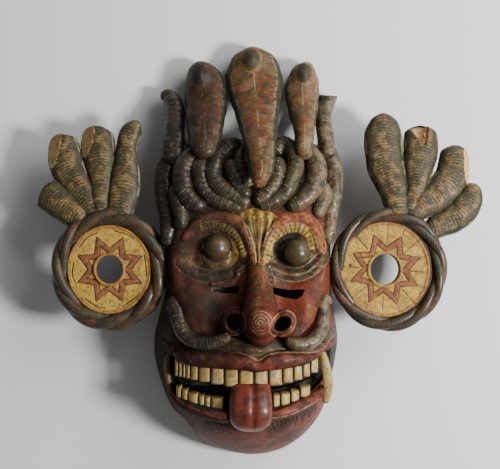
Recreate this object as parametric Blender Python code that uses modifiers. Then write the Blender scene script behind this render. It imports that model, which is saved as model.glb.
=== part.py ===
"""A carved and painted wooden demon mask that lies on its back.

The face, its hair of snakes and the crown of five cobras are one hollow block. Two ear boards,
each a pierced roundel in a ring of twisted snakes under four cobras, butt against the temples.
Sizes are in millimetres: X runs to the viewer's right, Y to the crown and Z out of the face.
The origin is on the floor, in the middle of the whole mask.
"""
import math

import bmesh
import bpy
from mathutils import Matrix, Vector

MM = 0.001
UP = Vector((0, 0, 1))

# Head block
MID_X = -9.7                # the plane that divides the face
HEAD_RISE = 84.0            # the brow's height over the floor
HEAD_CENTRE = (-10.0, -52.0)
WALL = 13.0                 # wood left round the hollow
RIM_SINK = 4.0              # how far the block runs on below the floor before it is cut flat
FLOOR_CUT = (600.0, 600.0, 80.0)
DOME_FLATNESS = 5           # power of the head's curve: flat on top, steep at the sides
TEMPLE_FLATNESS = 19        # what the temples add to it, where the ear boards are seated
TEMPLE_TALL = 30.0
RELIEF_FLATNESS = 6
RELIEF_BEHIND = 0.55        # share of the relief that is hollowed out from behind
HOLLOW_SHOULDER = 10.0      # height to which the hollow's sides stand straight
HEAD_OUTLINE = (
    (-8.7, 117.0), (-55.0, 116.0), (-92.0, 104.0), (-105.0, 78.0), (-103.0, 45.0),
    (-97.0, 6.0), (-95.0, -30.0), (-101.0, -58.0), (-108.0, -88.0), (-106.0, -118.0),
    (-92.0, -158.0), (-76.0, -175.0), (-58.0, -196.0), (-28.0, -208.0), (0.0, -210.5),
    (28.0, -203.0), (52.0, -185.0), (69.0, -158.0), (80.0, -110.0), (82.0, -84.0),
    (76.0, -50.0), (74.5, -18.0), (75.0, 12.0), (82.0, 45.0), (86.0, 78.0),
    (76.0, 104.0), (42.0, 116.0),
)
# Broad rises and hollows of the face: x, y, rise, half width, half height
RELIEF = (
    (-44.0, -6.0, -9.0, 26.0, 20.0),
    (37.0, -3.0, -9.0, 24.0, 20.0),
    (1.0, 22.0, 5.0, 34.0, 24.0),
    (-62.0, -52.0, 10.0, 24.0, 24.0),
    (46.0, -54.0, 10.0, 22.0, 24.0),
    (1.0, -44.0, 12.0, 15.0, 34.0),
    (-8.0, -98.0, 22.0, 62.0, 24.0),
    (-9.0, -166.0, 27.0, 56.0, 28.0),
)

# Eyes: x, y, z of each ball, with its radius, and the almond bulge that it stands on
EYEBALLS = ((-39.6, 5.0, 82.0), (37.0, 2.7, 86.0))
EYEBALL_RADIUS = 12.2
EYE_BULGES = ((-45.0, -6.0, 70.0), (37.0, -1.0, 72.0))
EYE_BULGE_SIZE = (25.0, 18.0, 13.0)
BROW_LEFT = ((-66.0, 20.0, 76, 4), (-54.0, 32.0, 84, 5), (-39.0, 36.0, 88, 5.5),
             (-22.0, 30.0, 90, 5.5), (-10.0, 12.0, 91, 5), (-5.0, -6.0, 90, 4))
BROW_RIGHT = ((4.6, -4.0, 90, 4), (9.0, 14.0, 92, 5), (20.0, 30.0, 91, 5.5),
              (37.0, 37.0, 88, 5.5), (51.0, 32.0, 82, 5), (61.0, 22.0, 74, 4))
FAN_TOP = (1.0, 38.0, 86.0)
FAN_FOOT = (0.0, -10.0, 90.0)
FAN_RADIUS = (17.0, 5.0)

# Nose
NOSE_RIDGE = ((0.0, -10.0, 86, 7), (1.0, -28.0, 92, 9), (1.5, -46.0, 102, 13),
              (2.0, -62.0, 112, 16), (2.0, -74.0, 108, 15))
NOSE_TIP = (2.0, -66.0, 120.0)
NOSE_TIP_RADIUS = 14.5
NOSTRILS = ((-24.0, -68.0, 98.0), (24.0, -70.0, 98.0))
NOSTRIL_RADIUS = 15.0
NOSTRIL_BORE = 7.5

# Moustache of two snakes: x, y, z, radius
MOUSTACHE_LEFT = ((-28.0, -81.0, 102, 5), (-41.8, -87.0, 103, 6.3), (-54.5, -89.9, 100, 6.8),
                  (-66.2, -86.1, 95, 6.8), (-74.9, -76.3, 89, 6.8), (-78.4, -63.6, 84, 6.8),
                  (-80.8, -53.9, 80, 8.0), (-86.6, -49.0, 74, 8.4))
MOUSTACHE_RIGHT = ((27.3, -86.1, 103, 5), (38.1, -90.9, 103, 6.3), (47.8, -90.9, 98, 6.8),
                   (57.5, -84.1, 92, 6.8), (62.4, -73.4, 87, 6.8), (63.3, -60.7, 83, 6.8),
                   (62.4, -50.0, 80, 7.4), (67.2, -44.2, 74, 7.8))

# Mouth: lips, tongue and teeth
UPPER_LIP = ((-84.0, -95.0, 76, 6), (-67.0, -101.0, 92, 8), (-34.0, -103.5, 102, 9),
             (-6.0, -105.0, 106, 9), (22.0, -103.0, 102, 9), (47.0, -99.0, 92, 8), (62.0, -92.0, 78, 6))
LOWER_LIP_LEFT = ((-84.0, -143.0, 72, 5), (-62.0, -152.0, 88, 7), (-34.0, -161.0, 98, 7))
LOWER_LIP_RIGHT = ((12.0, -160.0, 99, 7), (36.0, -155.0, 92, 7), (64.0, -144.0, 72, 5))
TONGUE = (-8.0, -149.0, 99.0)
TONGUE_SIZE = (21.5, 27.0, 12.0)
TONGUE_DROOP = 14.0         # degrees that the tongue's tip hangs forward
TEETH_X = -12.4
TOOTH_PITCH = 15.2
TOOTH_CLOSING = 0.045       # how fast the teeth narrow to the corners of the mouth
TOOTH_DEEP = 13.0
TOOTH_GAP = 2.2
TOOTH_EDGE = 1.6
UPPER_TOOTH_TALL = 18.0
UPPER_TEETH_Y = -119.0
LOWER_TOOTH_TALL = 13.0
LOWER_TEETH_Y = -146.0
TEETH_Z = 91.0
TEETH_SWEEP = 0.0042        # how far the rows bend back and up, by the square of the distance
TEETH_LIFT = 0.0019
UPPER_TEETH = (-6, -5, -4, -3, -2, -1, 0, 1, 2, 3, 4, 5)
LOWER_TEETH = (-6, -5, -4, -3, -2, 2, 3, 4, 5)
MOUTH_GAPS = ((-55.0, -132.5, 48.0, -8.0), (34.0, -130.0, 42.0, 13.0))
MOUTH_GAP_TALL = 8.0
TUSKS = (((-88.0, -98.0, 68, 3.5), (-90.0, -114.0, 70, 5), (-87.0, -130.0, 72, 3.5)),
         ((63.0, -98.0, 72, 3.5), (71.0, -124.0, 66, 5), (67.0, -144.0, 66, 3.5)))
SIGHT_SLITS = ((-33.5, -38.0, 31.0, 3.0), (29.0, -39.5, 31.0, -5.0))
SIGHT_SLIT_TALL = 8.0
CUT_TOP = 170.0             # every through cut starts above the nose and ends in the hollow
CUT_FOOT = 30.0

# Hair of snakes: x, y, radius; each lies on the scalp, raised by its own lift
SCALP_EDGE = 0.93           # share of the way out past which a snake drops no further
HAIR = (
    (3, ((-16.5, 109.3, 9.9), (-31.2, 101.5, 9.9), (-43.0, 88.7, 9.9), (-45.9, 74.0, 9.9),
         (-37.1, 62.3, 9.9), (-22.4, 53.5, 8.7), (-8.7, 47.0, 7.7))),
    (5, ((-29.3, 90.7, 7.7), (-25.4, 77.0, 7.7), (-18.5, 64.2, 7.7), (-9.7, 52.5, 6.6))),
    (2, ((-11.0, 104.0, 8.3), (-18.5, 92.0, 8.3), (-15.5, 78.0, 8.3), (-9.0, 64.0, 7.7))),
    (2, ((-54.8, 104.0, 9.9), (-57.7, 82.9, 9.9), (-56.7, 67.2, 9.3), (-47.9, 55.4, 8.3),
         (-32.2, 47.6, 7.7), (-15.6, 43.6, 6.6))),
    (4, ((-56.7, 101.5, 9.9), (-69.5, 92.7, 11.0), (-75.3, 78.0, 10.4), (-73.4, 61.3, 9.9),
         (-64.6, 48.6, 8.7), (-51.8, 43.7, 6.6))),
    (3, ((-81.2, 104.0, 9.9), (-92.0, 87.8, 11.0), (-94.0, 71.1, 11.0), (-91.0, 54.4, 9.9),
         (-84.2, 40.7, 9.3), (-80.3, 28.0, 7.7))),
    (4, ((14.8, 98.5, 8.7), (24.6, 107.4, 9.3), (33.4, 100.5, 9.3), (36.4, 88.7, 8.7),
         (32.5, 73.1, 8.7), (25.6, 59.3, 8.3), (12.9, 49.5, 7.7), (-0.9, 46.6, 6.6))),
    (5, ((17.8, 92.7, 8.3), (18.7, 78.9, 8.3), (13.8, 65.2, 7.7), (4.0, 54.4, 7.7),
         (-4.8, 48.6, 6.6))),
    (3, ((44.2, 104.5, 8.7), (55.0, 92.7, 10.4), (57.9, 78.0, 10.4), (53.0, 63.3, 9.9),
         (42.3, 50.5, 8.7), (27.5, 43.6, 7.2))),
    (3, ((68.7, 104.0, 8.8), (74.5, 87.8, 8.8), (75.5, 71.1, 9.3), (69.7, 55.4, 8.8),
         (63.8, 41.7, 7.8), (60.8, 30.0, 6.9))),
)

# Crown of five cobras: x, y, z, half width of the hood; and each snout
HOOD_HALF_DEEP = 11.0
COBRA_MID = ((-1.5, 62.5, 104, 5.8), (0.6, 71.0, 105, 8.6), (2.6, 81.0, 101, 12.0),
             (1.9, 100.4, 88, 15.0), (-0.2, 123.9, 67, 18.9), (-2.6, 154.6, 43, 25.6),
             (-4.6, 179.4, 30, 29.3), (-5.6, 199.0, 24, 22.7), (-6.1, 211.8, 22, 11.0))
COBRA_LEFT = ((-57.0, 92.0, 70, 12.0), (-55.2, 101.0, 69, 14.0),
              (-53.5, 113.0, 63, 16.3), (-53.9, 129.0, 52, 19.0),
              (-53.6, 152.8, 38, 21.6), (-56.0, 174.6, 27, 20.0),
              (-59.3, 189.6, 22, 13.4), (-60.2, 197.0, 21, 7.2))
COBRA_RIGHT = ((44.5, 92.0, 72, 8.5), (45.2, 109.4, 67, 9.4), (45.5, 124.2, 58, 11.0),
               (44.9, 141.6, 46, 14.7), (44.6, 163.4, 33, 17.9), (46.4, 179.8, 26, 15.4),
               (49.6, 191.4, 22, 9.3), (50.0, 196.5, 21, 5.5))
COBRA_FAR_LEFT = ((-84.0, 84.5, 58, 13.0), (-85.2, 111.2, 47, 12.4),
                  (-85.6, 136.6, 35, 11.0), (-87.7, 152.6, 28, 9.9),
                  (-94.0, 160.5, 25, 7.6), (-101.0, 158.4, 24, 5.6))
COBRA_FAR_RIGHT = ((70.4, 92.0, 56, 9.6), (67.3, 117.5, 46, 8.6), (65.8, 139.7, 35, 8.8),
                   (68.2, 151.6, 28, 8.8), (74.5, 158.5, 25, 7.8),
                   (81.7, 158.0, 24, 6.0))
CROWN = (COBRA_MID, COBRA_LEFT, COBRA_RIGHT, COBRA_FAR_LEFT, COBRA_FAR_RIGHT)
SNOUTS = ((-8.0, 196.0, 34.0, 10.0, 13.0), (-61.0, 180.0, 33.0, 8.5, 12.5),
          (46.5, 182.5, 33.0, 8.5, 12.0))
SNOUT_HALF_DEEP = 9.0

# Ear boards
SEAT_HALF = 80.4            # from the dividing plane to each temple seat
SEAT_GAP = 0.3
SEAT_TALL = 50.0
SEAT_LOW = 42.0
SEAT_HIGH = 62.0
SEAT_DEEP = 16.0            # how far the wood behind each seat runs into the head
SEAT_EDGE = 3.0
SEAT_BITE = 1.25            # depth of the flat on the rope ring that meets the seat
EAR_Y = -17.0
EAR_HEIGHT = 56.0           # the ring's centre over the floor
EAR_SWEEP = 2.0             # degrees that each board leans back from the face
EAR_SQUEEZE = 0.95          # the ring is a little narrower than it is tall
PLATE_HALF = 8.0
RING_RADIUS = 52.5
STRAND_RADIUS = 6.2
STRAND_SWAY = 3.6
STRAND_TURNS = 4
EDGE = 2.5                  # width of every slope of the turned board
ROUNDEL_RISE = 4.0          # the roundel's height over the bed of the rope ring
HOLE_EDGE = 5.0             # the raised rim round the hole
EAR_HOOD_DEEP = 9.5
# Each ear: the ring's side, its roundel and hole, and its cobras in shares of the ring's radius
EARS = (
    {
        "name": "ear_disc_left", "side": -1, "roundel": 44.0, "hole": 14.0, "hole_shift": 0.0,
        "cobras": (
            ((0.152, 0.952, 0.038, 0.19), (0.206, 1.086, 0.019, 0.229),
             (0.314, 1.501, -0.038, 0.267), (0.35, 1.88, -0.133, 0.244),
             (0.35, 2.257, -0.229, 0.21), (0.4, 2.522, -0.305, 0.21),
             (0.495, 2.691, -0.343, 0.162), (0.59, 2.777, -0.343, 0.095)),
            ((-0.19, 0.952, 0, 0.152), (-0.162, 1.143, 0, 0.162), (-0.128, 1.501, -0.057, 0.19),
             (-0.149, 1.88, -0.152, 0.267), (-0.21, 2.257, -0.248, 0.333),
             (-0.244, 2.522, -0.324, 0.324), (-0.238, 2.714, -0.362, 0.238)),
            ((-0.267, 0.952, -0.019, 0.152), (-0.343, 1.162, -0.019, 0.19),
             (-0.562, 1.501, -0.076, 0.257), (-0.777, 1.88, -0.171, 0.309),
             (-0.886, 2.257, -0.267, 0.32), (-0.939, 2.448, -0.305, 0.267),
             (-0.952, 2.552, -0.324, 0.2)),
            ((-0.457, 0.876, 0, 0.171), (-0.59, 0.99, 0, 0.21), (-0.872, 1.2, -0.038, 0.257),
             (-1.124, 1.39, -0.076, 0.267), (-1.257, 1.495, -0.114, 0.229)),
        ),
    },
    {
        "name": "ear_disc_right", "side": 1, "roundel": 47.0, "hole": 15.5, "hole_shift": -4.0,
        "cobras": (
            ((0.19, 0.952, 0.038, 0.19), (0.16, 1.162, 0.019, 0.2), (0.044, 1.501, -0.038, 0.251),
             (-0.076, 1.88, -0.133, 0.324), (-0.114, 2.257, -0.229, 0.366),
             (-0.107, 2.56, -0.305, 0.358), (-0.101, 2.81, -0.343, 0.257),
             (-0.095, 2.962, -0.362, 0.114)),
            ((0.381, 1.029, 0, 0.152), (0.41, 1.274, -0.019, 0.152),
             (0.476, 1.501, -0.057, 0.181), (0.541, 1.88, -0.152, 0.276),
             (0.61, 2.257, -0.248, 0.335), (0.617, 2.533, -0.324, 0.32),
             (0.617, 2.724, -0.362, 0.229)),
            ((0.419, 0.952, -0.019, 0.19), (0.533, 1.124, -0.019, 0.21),
             (0.834, 1.312, -0.057, 0.257), (1.114, 1.577, -0.114, 0.29),
             (1.248, 1.88, -0.19, 0.305), (1.276, 2.145, -0.248, 0.286),
             (1.295, 2.333, -0.286, 0.19)),
            ((0.724, 0.762, -0.038, 0.171), (0.971, 0.829, -0.038, 0.2),
             (1.343, 1.029, -0.057, 0.238), (1.524, 1.257, -0.095, 0.234),
             (1.562, 1.467, -0.133, 0.171), (1.533, 1.6, -0.152, 0.105)),
        ),
    },
)

# Fineness of the faceted solids
HEAD_VOXEL = 2.2
HEAD_KEEP = 0.038
EAR_VOXEL = 2.0
EAR_KEEP = 0.034
RING_STEPS = 120            # points round the head's outline
DEPTH_STEPS = 40            # rings from the head's outline to its middle
HOLLOW_RING_STEPS = 40
HOLLOW_DEPTH_STEPS = 10
BODY_SIDES = 14
BODY_STEPS = 5              # rings from one point of a snake's route to the next
BALL_SIDES = 24
BALL_STEPS = 14
TURN_SIDES = 48
STRAND_SIDES = 12
STRAND_STEPS = 90


def clear_scene():
    """Removes everything that the scene holds."""
    for item in list(bpy.data.objects):
        bpy.data.objects.remove(item, do_unlink=True)


def new_collection(name):
    """A collection under the scene's own."""
    group = bpy.data.collections.new(name)
    bpy.context.scene.collection.children.link(group)
    return group


def paint(name, colour, rough):
    """Painted wood of one colour."""
    finish = bpy.data.materials.new(name)
    finish.use_nodes = True
    shader = finish.node_tree.nodes["Principled BSDF"]
    shader.inputs["Base Color"].default_value = (*colour, 1)
    shader.inputs["Roughness"].default_value = rough
    shader.inputs["Metallic"].default_value = 0
    finish.diffuse_color = (*colour, 1)
    return finish


def smooth_route(points, steps, closed=False):
    """Points on an even curve through the given ones, which may hold any count of numbers."""
    count = len(points)
    route = []
    for n in range(count if closed else count - 1):
        if closed:
            a, b, c, d = (points[(n + shift) % count] for shift in (-1, 0, 1, 2))
        else:
            a, b, c, d = (points[min(max(n + shift, 0), count - 1)] for shift in (-1, 0, 1, 2))
        for step in range(steps):
            t = step / steps
            route.append([
                0.5 * (2 * q + (r - p) * t + (2 * p - 5 * q + 4 * r - s) * t ** 2
                       + (3 * q - p - 3 * r + s) * t ** 3)
                for p, q, r, s in zip(a, b, c, d)
            ])
    if not closed:
        route.append(list(points[-1]))
    return route


def even_turns(count):
    """Angles that divide a whole turn evenly."""
    return [2 * math.pi * n / count for n in range(count)]


def loft(rings, closed=False):
    """Skin through closed rings of points, shut at both ends or joined end to end."""
    block = bmesh.new()
    rows = [[block.verts.new(Vector(point) * MM) for point in ring] for ring in rings]
    pairs = list(zip(rows, rows[1:]))
    if closed:
        pairs.append((rows[-1], rows[0]))
    for near, far in pairs:
        for a in range(len(near)):
            b = (a + 1) % len(near)
            block.faces.new((near[a], near[b], far[b], far[a]))
    if not closed:
        block.faces.new(rows[0])
        block.faces.new(rows[-1])
    bmesh.ops.recalc_face_normals(block, faces=block.faces)
    return block


def body(route, half_deep=None):
    """A snake's body along points of x, y, z and half width, flattened where it is wide."""
    line = smooth_route(route, BODY_STEPS)
    turns = even_turns(BODY_SIDES)
    rings = []
    for n, (x, y, z, wide) in enumerate(line):
        ahead = Vector(line[min(n + 1, len(line) - 1)][:3])
        along = (ahead - Vector(line[max(n - 1, 0)][:3])).normalized()
        across = along.cross(UP).normalized()
        out = across.cross(along)
        deep = min(wide, half_deep) if half_deep else wide
        rings.append([
            Vector((x, y, z)) + across * wide * math.cos(a) + out * deep * math.sin(a) for a in turns
        ])
    return loft(rings)


def ball(centre, size, tilt=0.0):
    """An egg of three half sizes, tipped about X."""
    block = bmesh.new()
    bmesh.ops.create_uvsphere(block, u_segments=BALL_SIDES, v_segments=BALL_STEPS, radius=MM)
    place = (Matrix.Translation(Vector(centre) * MM) @ Matrix.Rotation(math.radians(tilt), 4, "X")
             @ Matrix.Diagonal((*size, 1)))
    bmesh.ops.transform(block, matrix=place, verts=block.verts)
    return block


def brick(centre, size, turn=0.0, edge=0.0):
    """A box turned about Z, with its edges rounded off."""
    block = bmesh.new()
    bmesh.ops.create_cube(block, size=MM)
    bmesh.ops.scale(block, vec=size, verts=block.verts)
    if edge:
        bmesh.ops.bevel(block, geom=block.edges[:], offset=edge * MM, segments=2, profile=0.5,
                        affect="EDGES")
    place = Matrix.Translation(Vector(centre) * MM) @ Matrix.Rotation(math.radians(turn), 4, "Z")
    bmesh.ops.transform(block, matrix=place, verts=block.verts)
    return block


def rod(centre, radius, low, high, squeeze=1.0):
    """A drilled hole along Z, between two heights."""
    block = bmesh.new()
    bmesh.ops.create_cone(block, cap_ends=True, segments=BALL_SIDES, radius1=radius * MM,
                          radius2=radius * MM, depth=(high - low) * MM)
    place = (Matrix.Translation(Vector((centre[0], centre[1], (low + high) / 2)) * MM)
             @ Matrix.Diagonal((squeeze, 1, 1, 1)))
    bmesh.ops.transform(block, matrix=place, verts=block.verts)
    return block


def gathered(name, blocks, group):
    """One object that holds every block, still overlapping."""
    mesh = bpy.data.meshes.new(name)
    whole = bmesh.new()
    for block in blocks:
        block.to_mesh(mesh)
        block.free()
        whole.from_mesh(mesh)
    whole.to_mesh(mesh)
    whole.free()
    thing = bpy.data.objects.new(name, mesh)
    group.objects.link(thing)
    return thing


def carve(thing, name, block, cutters):
    """Cuts a block out of a piece, and keeps the cutter in wire."""
    tool = gathered(name, [block], cutters)
    tool.hide_render = True
    tool.display_type = "WIRE"
    cut = thing.modifiers.new(name, "BOOLEAN")
    cut.operation = "DIFFERENCE"
    cut.solver = "EXACT"
    cut.object = tool
    return tool


def fuse(thing, voxel, keep):
    """Melts overlapping blocks into one body with few facets."""
    melt = thing.modifiers.new("one_block", "REMESH")
    melt.mode = "VOXEL"
    melt.voxel_size = voxel * MM
    thin = thing.modifiers.new("facets", "DECIMATE")
    thin.ratio = keep


def dome(share, y):
    """Height of the plain head at a share of the way out to its outline, steepest at the temples."""
    steep = DOME_FLATNESS + TEMPLE_FLATNESS * math.exp(-((y - EAR_Y) / TEMPLE_TALL) ** 2)
    return HEAD_RISE * math.sqrt(max(0.0, 1 - share ** steep))


def relief(x, y):
    """Rise of brows, cheeks, muzzle and chin over the plain head."""
    return sum(rise * math.exp(-((x - cx) / wide) ** 2 - ((y - cy) / tall) ** 2)
               for cx, cy, rise, wide, tall in RELIEF)


def head_ring(outline, share, inset, height):
    """The outline drawn in towards the head's centre."""
    ring = []
    for x, y in outline:
        reach = math.hypot(x - HEAD_CENTRE[0], y - HEAD_CENTRE[1])
        part = share * (1 - inset / reach)
        px = HEAD_CENTRE[0] + (x - HEAD_CENTRE[0]) * part
        py = HEAD_CENTRE[1] + (y - HEAD_CENTRE[1]) * part
        ring.append((px, py, height(px, py, share)))
    return ring


def head_block(outline):
    """The plain head with its broad relief, run on a little below the floor."""
    def height(x, y, share):
        return dome(share, y) + relief(x, y) * (1 - share ** RELIEF_FLATNESS)
    rings = [head_ring(outline, (n + 0.5) / DEPTH_STEPS, 0, height) for n in range(DEPTH_STEPS)]
    rings.append(head_ring(outline, 1, 0, lambda x, y, share: 0))
    rings.append(head_ring(outline, 1, 0, lambda x, y, share: -RIM_SINK))
    return loft(rings)


def hollow_block(outline):
    """The hollow behind the face, a wall's width inside it and open at the floor."""
    coarse = outline[::RING_STEPS // HOLLOW_RING_STEPS]
    steps = HOLLOW_DEPTH_STEPS

    def height(x, y, share):
        return dome(share, y) - WALL + RELIEF_BEHIND * max(0.0, relief(x, y)) * (1 - share ** 2)
    rings = [head_ring(coarse, (n + 0.5) / steps, WALL, height) for n in range(steps)]
    rings.append(head_ring(coarse, 1, WALL, lambda x, y, share: HOLLOW_SHOULDER))
    rings.append(head_ring(coarse, 1, WALL, lambda x, y, share: -2 * RIM_SINK))
    return loft(rings)


def even_outline():
    """The head's outline as evenly numbered points."""
    fine = smooth_route(HEAD_OUTLINE, 24, closed=True)
    return [fine[int(n * len(fine) / RING_STEPS)] for n in range(RING_STEPS)]


def scalp_height(outline, x, y):
    """Height of the plain head over a point of the floor."""
    heading = math.atan2(y - HEAD_CENTRE[1], x - HEAD_CENTRE[0])

    def off_heading(point):
        turn = math.atan2(point[1] - HEAD_CENTRE[1], point[0] - HEAD_CENTRE[0]) - heading
        return abs(math.remainder(turn, 2 * math.pi))
    edge = min(outline, key=off_heading)
    reach = math.hypot(x - HEAD_CENTRE[0], y - HEAD_CENTRE[1])
    return dome(min(reach / math.dist(edge, HEAD_CENTRE), SCALP_EDGE), y)


def hair_blocks(outline):
    """Every hair snake, lying on the scalp."""
    for lift, route in HAIR:
        yield body([(x, y, scalp_height(outline, x, y) + lift, wide) for x, y, wide in route])


def tooth_place(number):
    """How far a tooth stands from the middle one, and how wide it is."""
    count = abs(number)
    away = TOOTH_PITCH * number * (1 - TOOTH_CLOSING * count)
    wide = TOOTH_PITCH * (1 - 2 * TOOTH_CLOSING * count)
    return away, wide - TOOTH_GAP


def teeth_blocks():
    """Both rows of teeth, bent back to the corners of the mouth."""
    rows = ((UPPER_TEETH, UPPER_TEETH_Y, UPPER_TOOTH_TALL),
            (LOWER_TEETH, LOWER_TEETH_Y, LOWER_TOOTH_TALL))
    for numbers, row_y, tall in rows:
        for number in numbers:
            away, wide = tooth_place(number)
            place = (TEETH_X + away, row_y + TEETH_LIFT * away ** 2, TEETH_Z - TEETH_SWEEP * away ** 2)
            yield brick(place, (wide, tall, TOOTH_DEEP), edge=TOOTH_EDGE)


def face_blocks(outline):
    """All that the face's block is carved into."""
    yield head_block(outline)
    for centre in EYEBALLS:
        yield ball(centre, (EYEBALL_RADIUS,) * 3)
    for centre in EYE_BULGES:
        yield ball(centre, EYE_BULGE_SIZE)
    yield body(BROW_LEFT)
    yield body(BROW_RIGHT)
    yield body(((*FAN_FOOT, FAN_RADIUS[1]), (*FAN_TOP, FAN_RADIUS[0])), FAN_RADIUS[1])
    yield body(NOSE_RIDGE)
    yield ball(NOSE_TIP, (NOSE_TIP_RADIUS,) * 3)
    for centre in NOSTRILS:
        yield ball(centre, (NOSTRIL_RADIUS,) * 3)
    for route in (MOUSTACHE_LEFT, MOUSTACHE_RIGHT, UPPER_LIP, LOWER_LIP_LEFT, LOWER_LIP_RIGHT, *TUSKS):
        yield body(route)
    yield ball(TONGUE, TONGUE_SIZE, TONGUE_DROOP)
    yield from teeth_blocks()
    yield from hair_blocks(outline)
    for route in CROWN:
        yield body(route, HOOD_HALF_DEEP)
    for x, y, z, wide, tall in SNOUTS:
        yield ball((x, y, z), (wide, tall, SNOUT_HALF_DEEP))
    for side in (-1, 1):
        deep = SEAT_DEEP + RIM_SINK
        yield brick((MID_X + side * (SEAT_HALF + RIM_SINK - deep / 2), EAR_Y, (SEAT_LOW + SEAT_HIGH) / 2),
                    (deep, SEAT_TALL, SEAT_HIGH - SEAT_LOW), edge=SEAT_EDGE)


def seat_block(side, outward):
    """Box that trims one temple's seat, or from the other side the ring that butts against it."""
    wide = 4 * SEAT_TALL
    if outward:
        seat, middle_z, size = SEAT_HALF + wide / 2, SEAT_LOW + HEAD_RISE / 2, (wide, SEAT_TALL, HEAD_RISE)
    else:
        seat, middle_z, size = SEAT_HALF + SEAT_GAP - wide / 2, EAR_HEIGHT, (wide, wide, wide)
    return brick((MID_X + side * seat, EAR_Y, middle_z), size)


def make_face(parts, cutters):
    """The face, hair and crown, hollowed and cut flat behind."""
    outline = even_outline()
    face = gathered("mask_face", face_blocks(outline), parts)
    fuse(face, HEAD_VOXEL, HEAD_KEEP)
    carve(face, "floor_cut", brick((0, 0, -FLOOR_CUT[2] / 2), FLOOR_CUT), cutters)
    carve(face, "hollow_cut", hollow_block(outline), cutters)
    for side, word in ((-1, "left"), (1, "right")):
        carve(face, f"seat_cut_{word}", seat_block(side, True), cutters)
    for kind, slots, tall in (("mouth", MOUTH_GAPS, MOUTH_GAP_TALL), ("sight", SIGHT_SLITS, SIGHT_SLIT_TALL)):
        for word, (x, y, long, turn) in zip(("left", "right"), slots):
            block = brick((x, y, (CUT_TOP + CUT_FOOT) / 2), (long, tall, CUT_TOP - CUT_FOOT), turn)
            carve(face, f"{kind}_cut_{word}", block, cutters)
    for word, centre in zip(("left", "right"), NOSTRILS):
        carve(face, f"nostril_cut_{word}", rod(centre, NOSTRIL_BORE, CUT_FOOT, CUT_TOP), cutters)
    return face


def plate_rings(ear):
    """The turned board: the rim of its hole, the roundel and the bed of the rope ring."""
    hole, roundel, shift = ear["hole"], ear["roundel"], ear["hole_shift"]
    top = PLATE_HALF + ROUNDEL_RISE
    pin = hole / BALL_SIDES
    profile = (
        (pin, -PLATE_HALF, 0), (RING_RADIUS - EDGE, -PLATE_HALF, 0),
        (RING_RADIUS + EDGE, -PLATE_HALF + EDGE, 0), (RING_RADIUS + EDGE, PLATE_HALF - EDGE, 0),
        (roundel, PLATE_HALF, shift), (roundel - EDGE, top, shift), (hole + HOLE_EDGE, top, shift),
        (hole + EDGE, top + EDGE, shift), (pin, top + EDGE, shift),
    )
    for radius, z, off in profile:
        yield [(off + radius * EAR_SQUEEZE * math.cos(a), radius * math.sin(a), z)
               for a in even_turns(TURN_SIDES)]


def rope_strand(start):
    """One of the two snakes that twist round the board's edge."""
    rings = []
    for turn in even_turns(STRAND_STEPS):
        twist = STRAND_TURNS * turn + start
        radius = RING_RADIUS + STRAND_SWAY * math.cos(twist)
        z = PLATE_HALF + STRAND_SWAY * math.sin(twist)
        spoke = Vector((math.cos(turn), math.sin(turn), 0))
        centre = spoke * radius + UP * z
        ring = [centre + (spoke * math.cos(a) + UP * math.sin(a)) * STRAND_RADIUS
                for a in even_turns(STRAND_SIDES)]
        rings.append([(x * EAR_SQUEEZE, y, z) for x, y, z in ring])
    return loft(rings, closed=True)


def ear_place(ear):
    """Where a board lies: far enough out for the flat on its ring to meet the temple's seat."""
    lean = math.radians(EAR_SWEEP)
    reach = (RING_RADIUS + STRAND_SWAY + STRAND_RADIUS) * EAR_SQUEEZE * math.cos(lean) - SEAT_BITE
    x = MID_X + ear["side"] * (SEAT_HALF + SEAT_GAP + reach)
    return (Matrix.Translation(Vector((x, EAR_Y, EAR_HEIGHT)) * MM)
            @ Matrix.Rotation(lean * ear["side"], 4, "Y"))


def make_ear(ear, parts, cutters):
    """One ear board with its roundel, rope ring and cobras, trimmed to its temple seat."""
    def blocks():
        yield loft(list(plate_rings(ear)))
        yield rope_strand(0)
        yield rope_strand(math.pi)
        for route in ear["cobras"]:
            grown = [[share * RING_RADIUS for share in row] for row in route]
            yield body([(x, y, z + EAR_HOOD_DEEP / 2, wide) for x, y, z, wide in grown], EAR_HOOD_DEEP)
    board = gathered(ear["name"], blocks(), parts)
    place = ear_place(ear)
    board.data.transform(place)
    fuse(board, EAR_VOXEL, EAR_KEEP)
    hole = rod((ear["hole_shift"], 0), ear["hole"], -4 * PLATE_HALF, 4 * PLATE_HALF, EAR_SQUEEZE)
    bmesh.ops.transform(hole, matrix=place, verts=hole.verts)
    carve(board, f"{ear['name']}_hole_cut", hole, cutters)
    carve(board, f"{ear['name']}_seat_cut", seat_block(ear["side"], False), cutters)
    return board


def main():
    """Builds the three carved pieces."""
    clear_scene()
    parts = new_collection("demon_mask")
    cutters = new_collection("mask_cutters")
    face = make_face(parts, cutters)
    face.data.materials.append(paint("painted_face_wood", (0.19, 0.04, 0.03), 0.35))
    for ear in EARS:
        board = make_ear(ear, parts, cutters)
        board.data.materials.append(paint(f"painted_{ear['name']}_wood", (0.42, 0.22, 0.07), 0.4))


main()
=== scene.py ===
"""The looks of a carved and painted wooden demon mask that lies on its back.

Lengths are in millimetres until a mesh is made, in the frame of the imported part: X to the viewer's
right, Y to the crown, Z out of the face. Paint is laid by shaders on fields that the carving
functions leave on each point, such as the distance to a painted edge or the way along a snake.
"""
import math

import bmesh
import bpy
import numpy as np
from mathutils import Matrix, Vector


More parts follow.
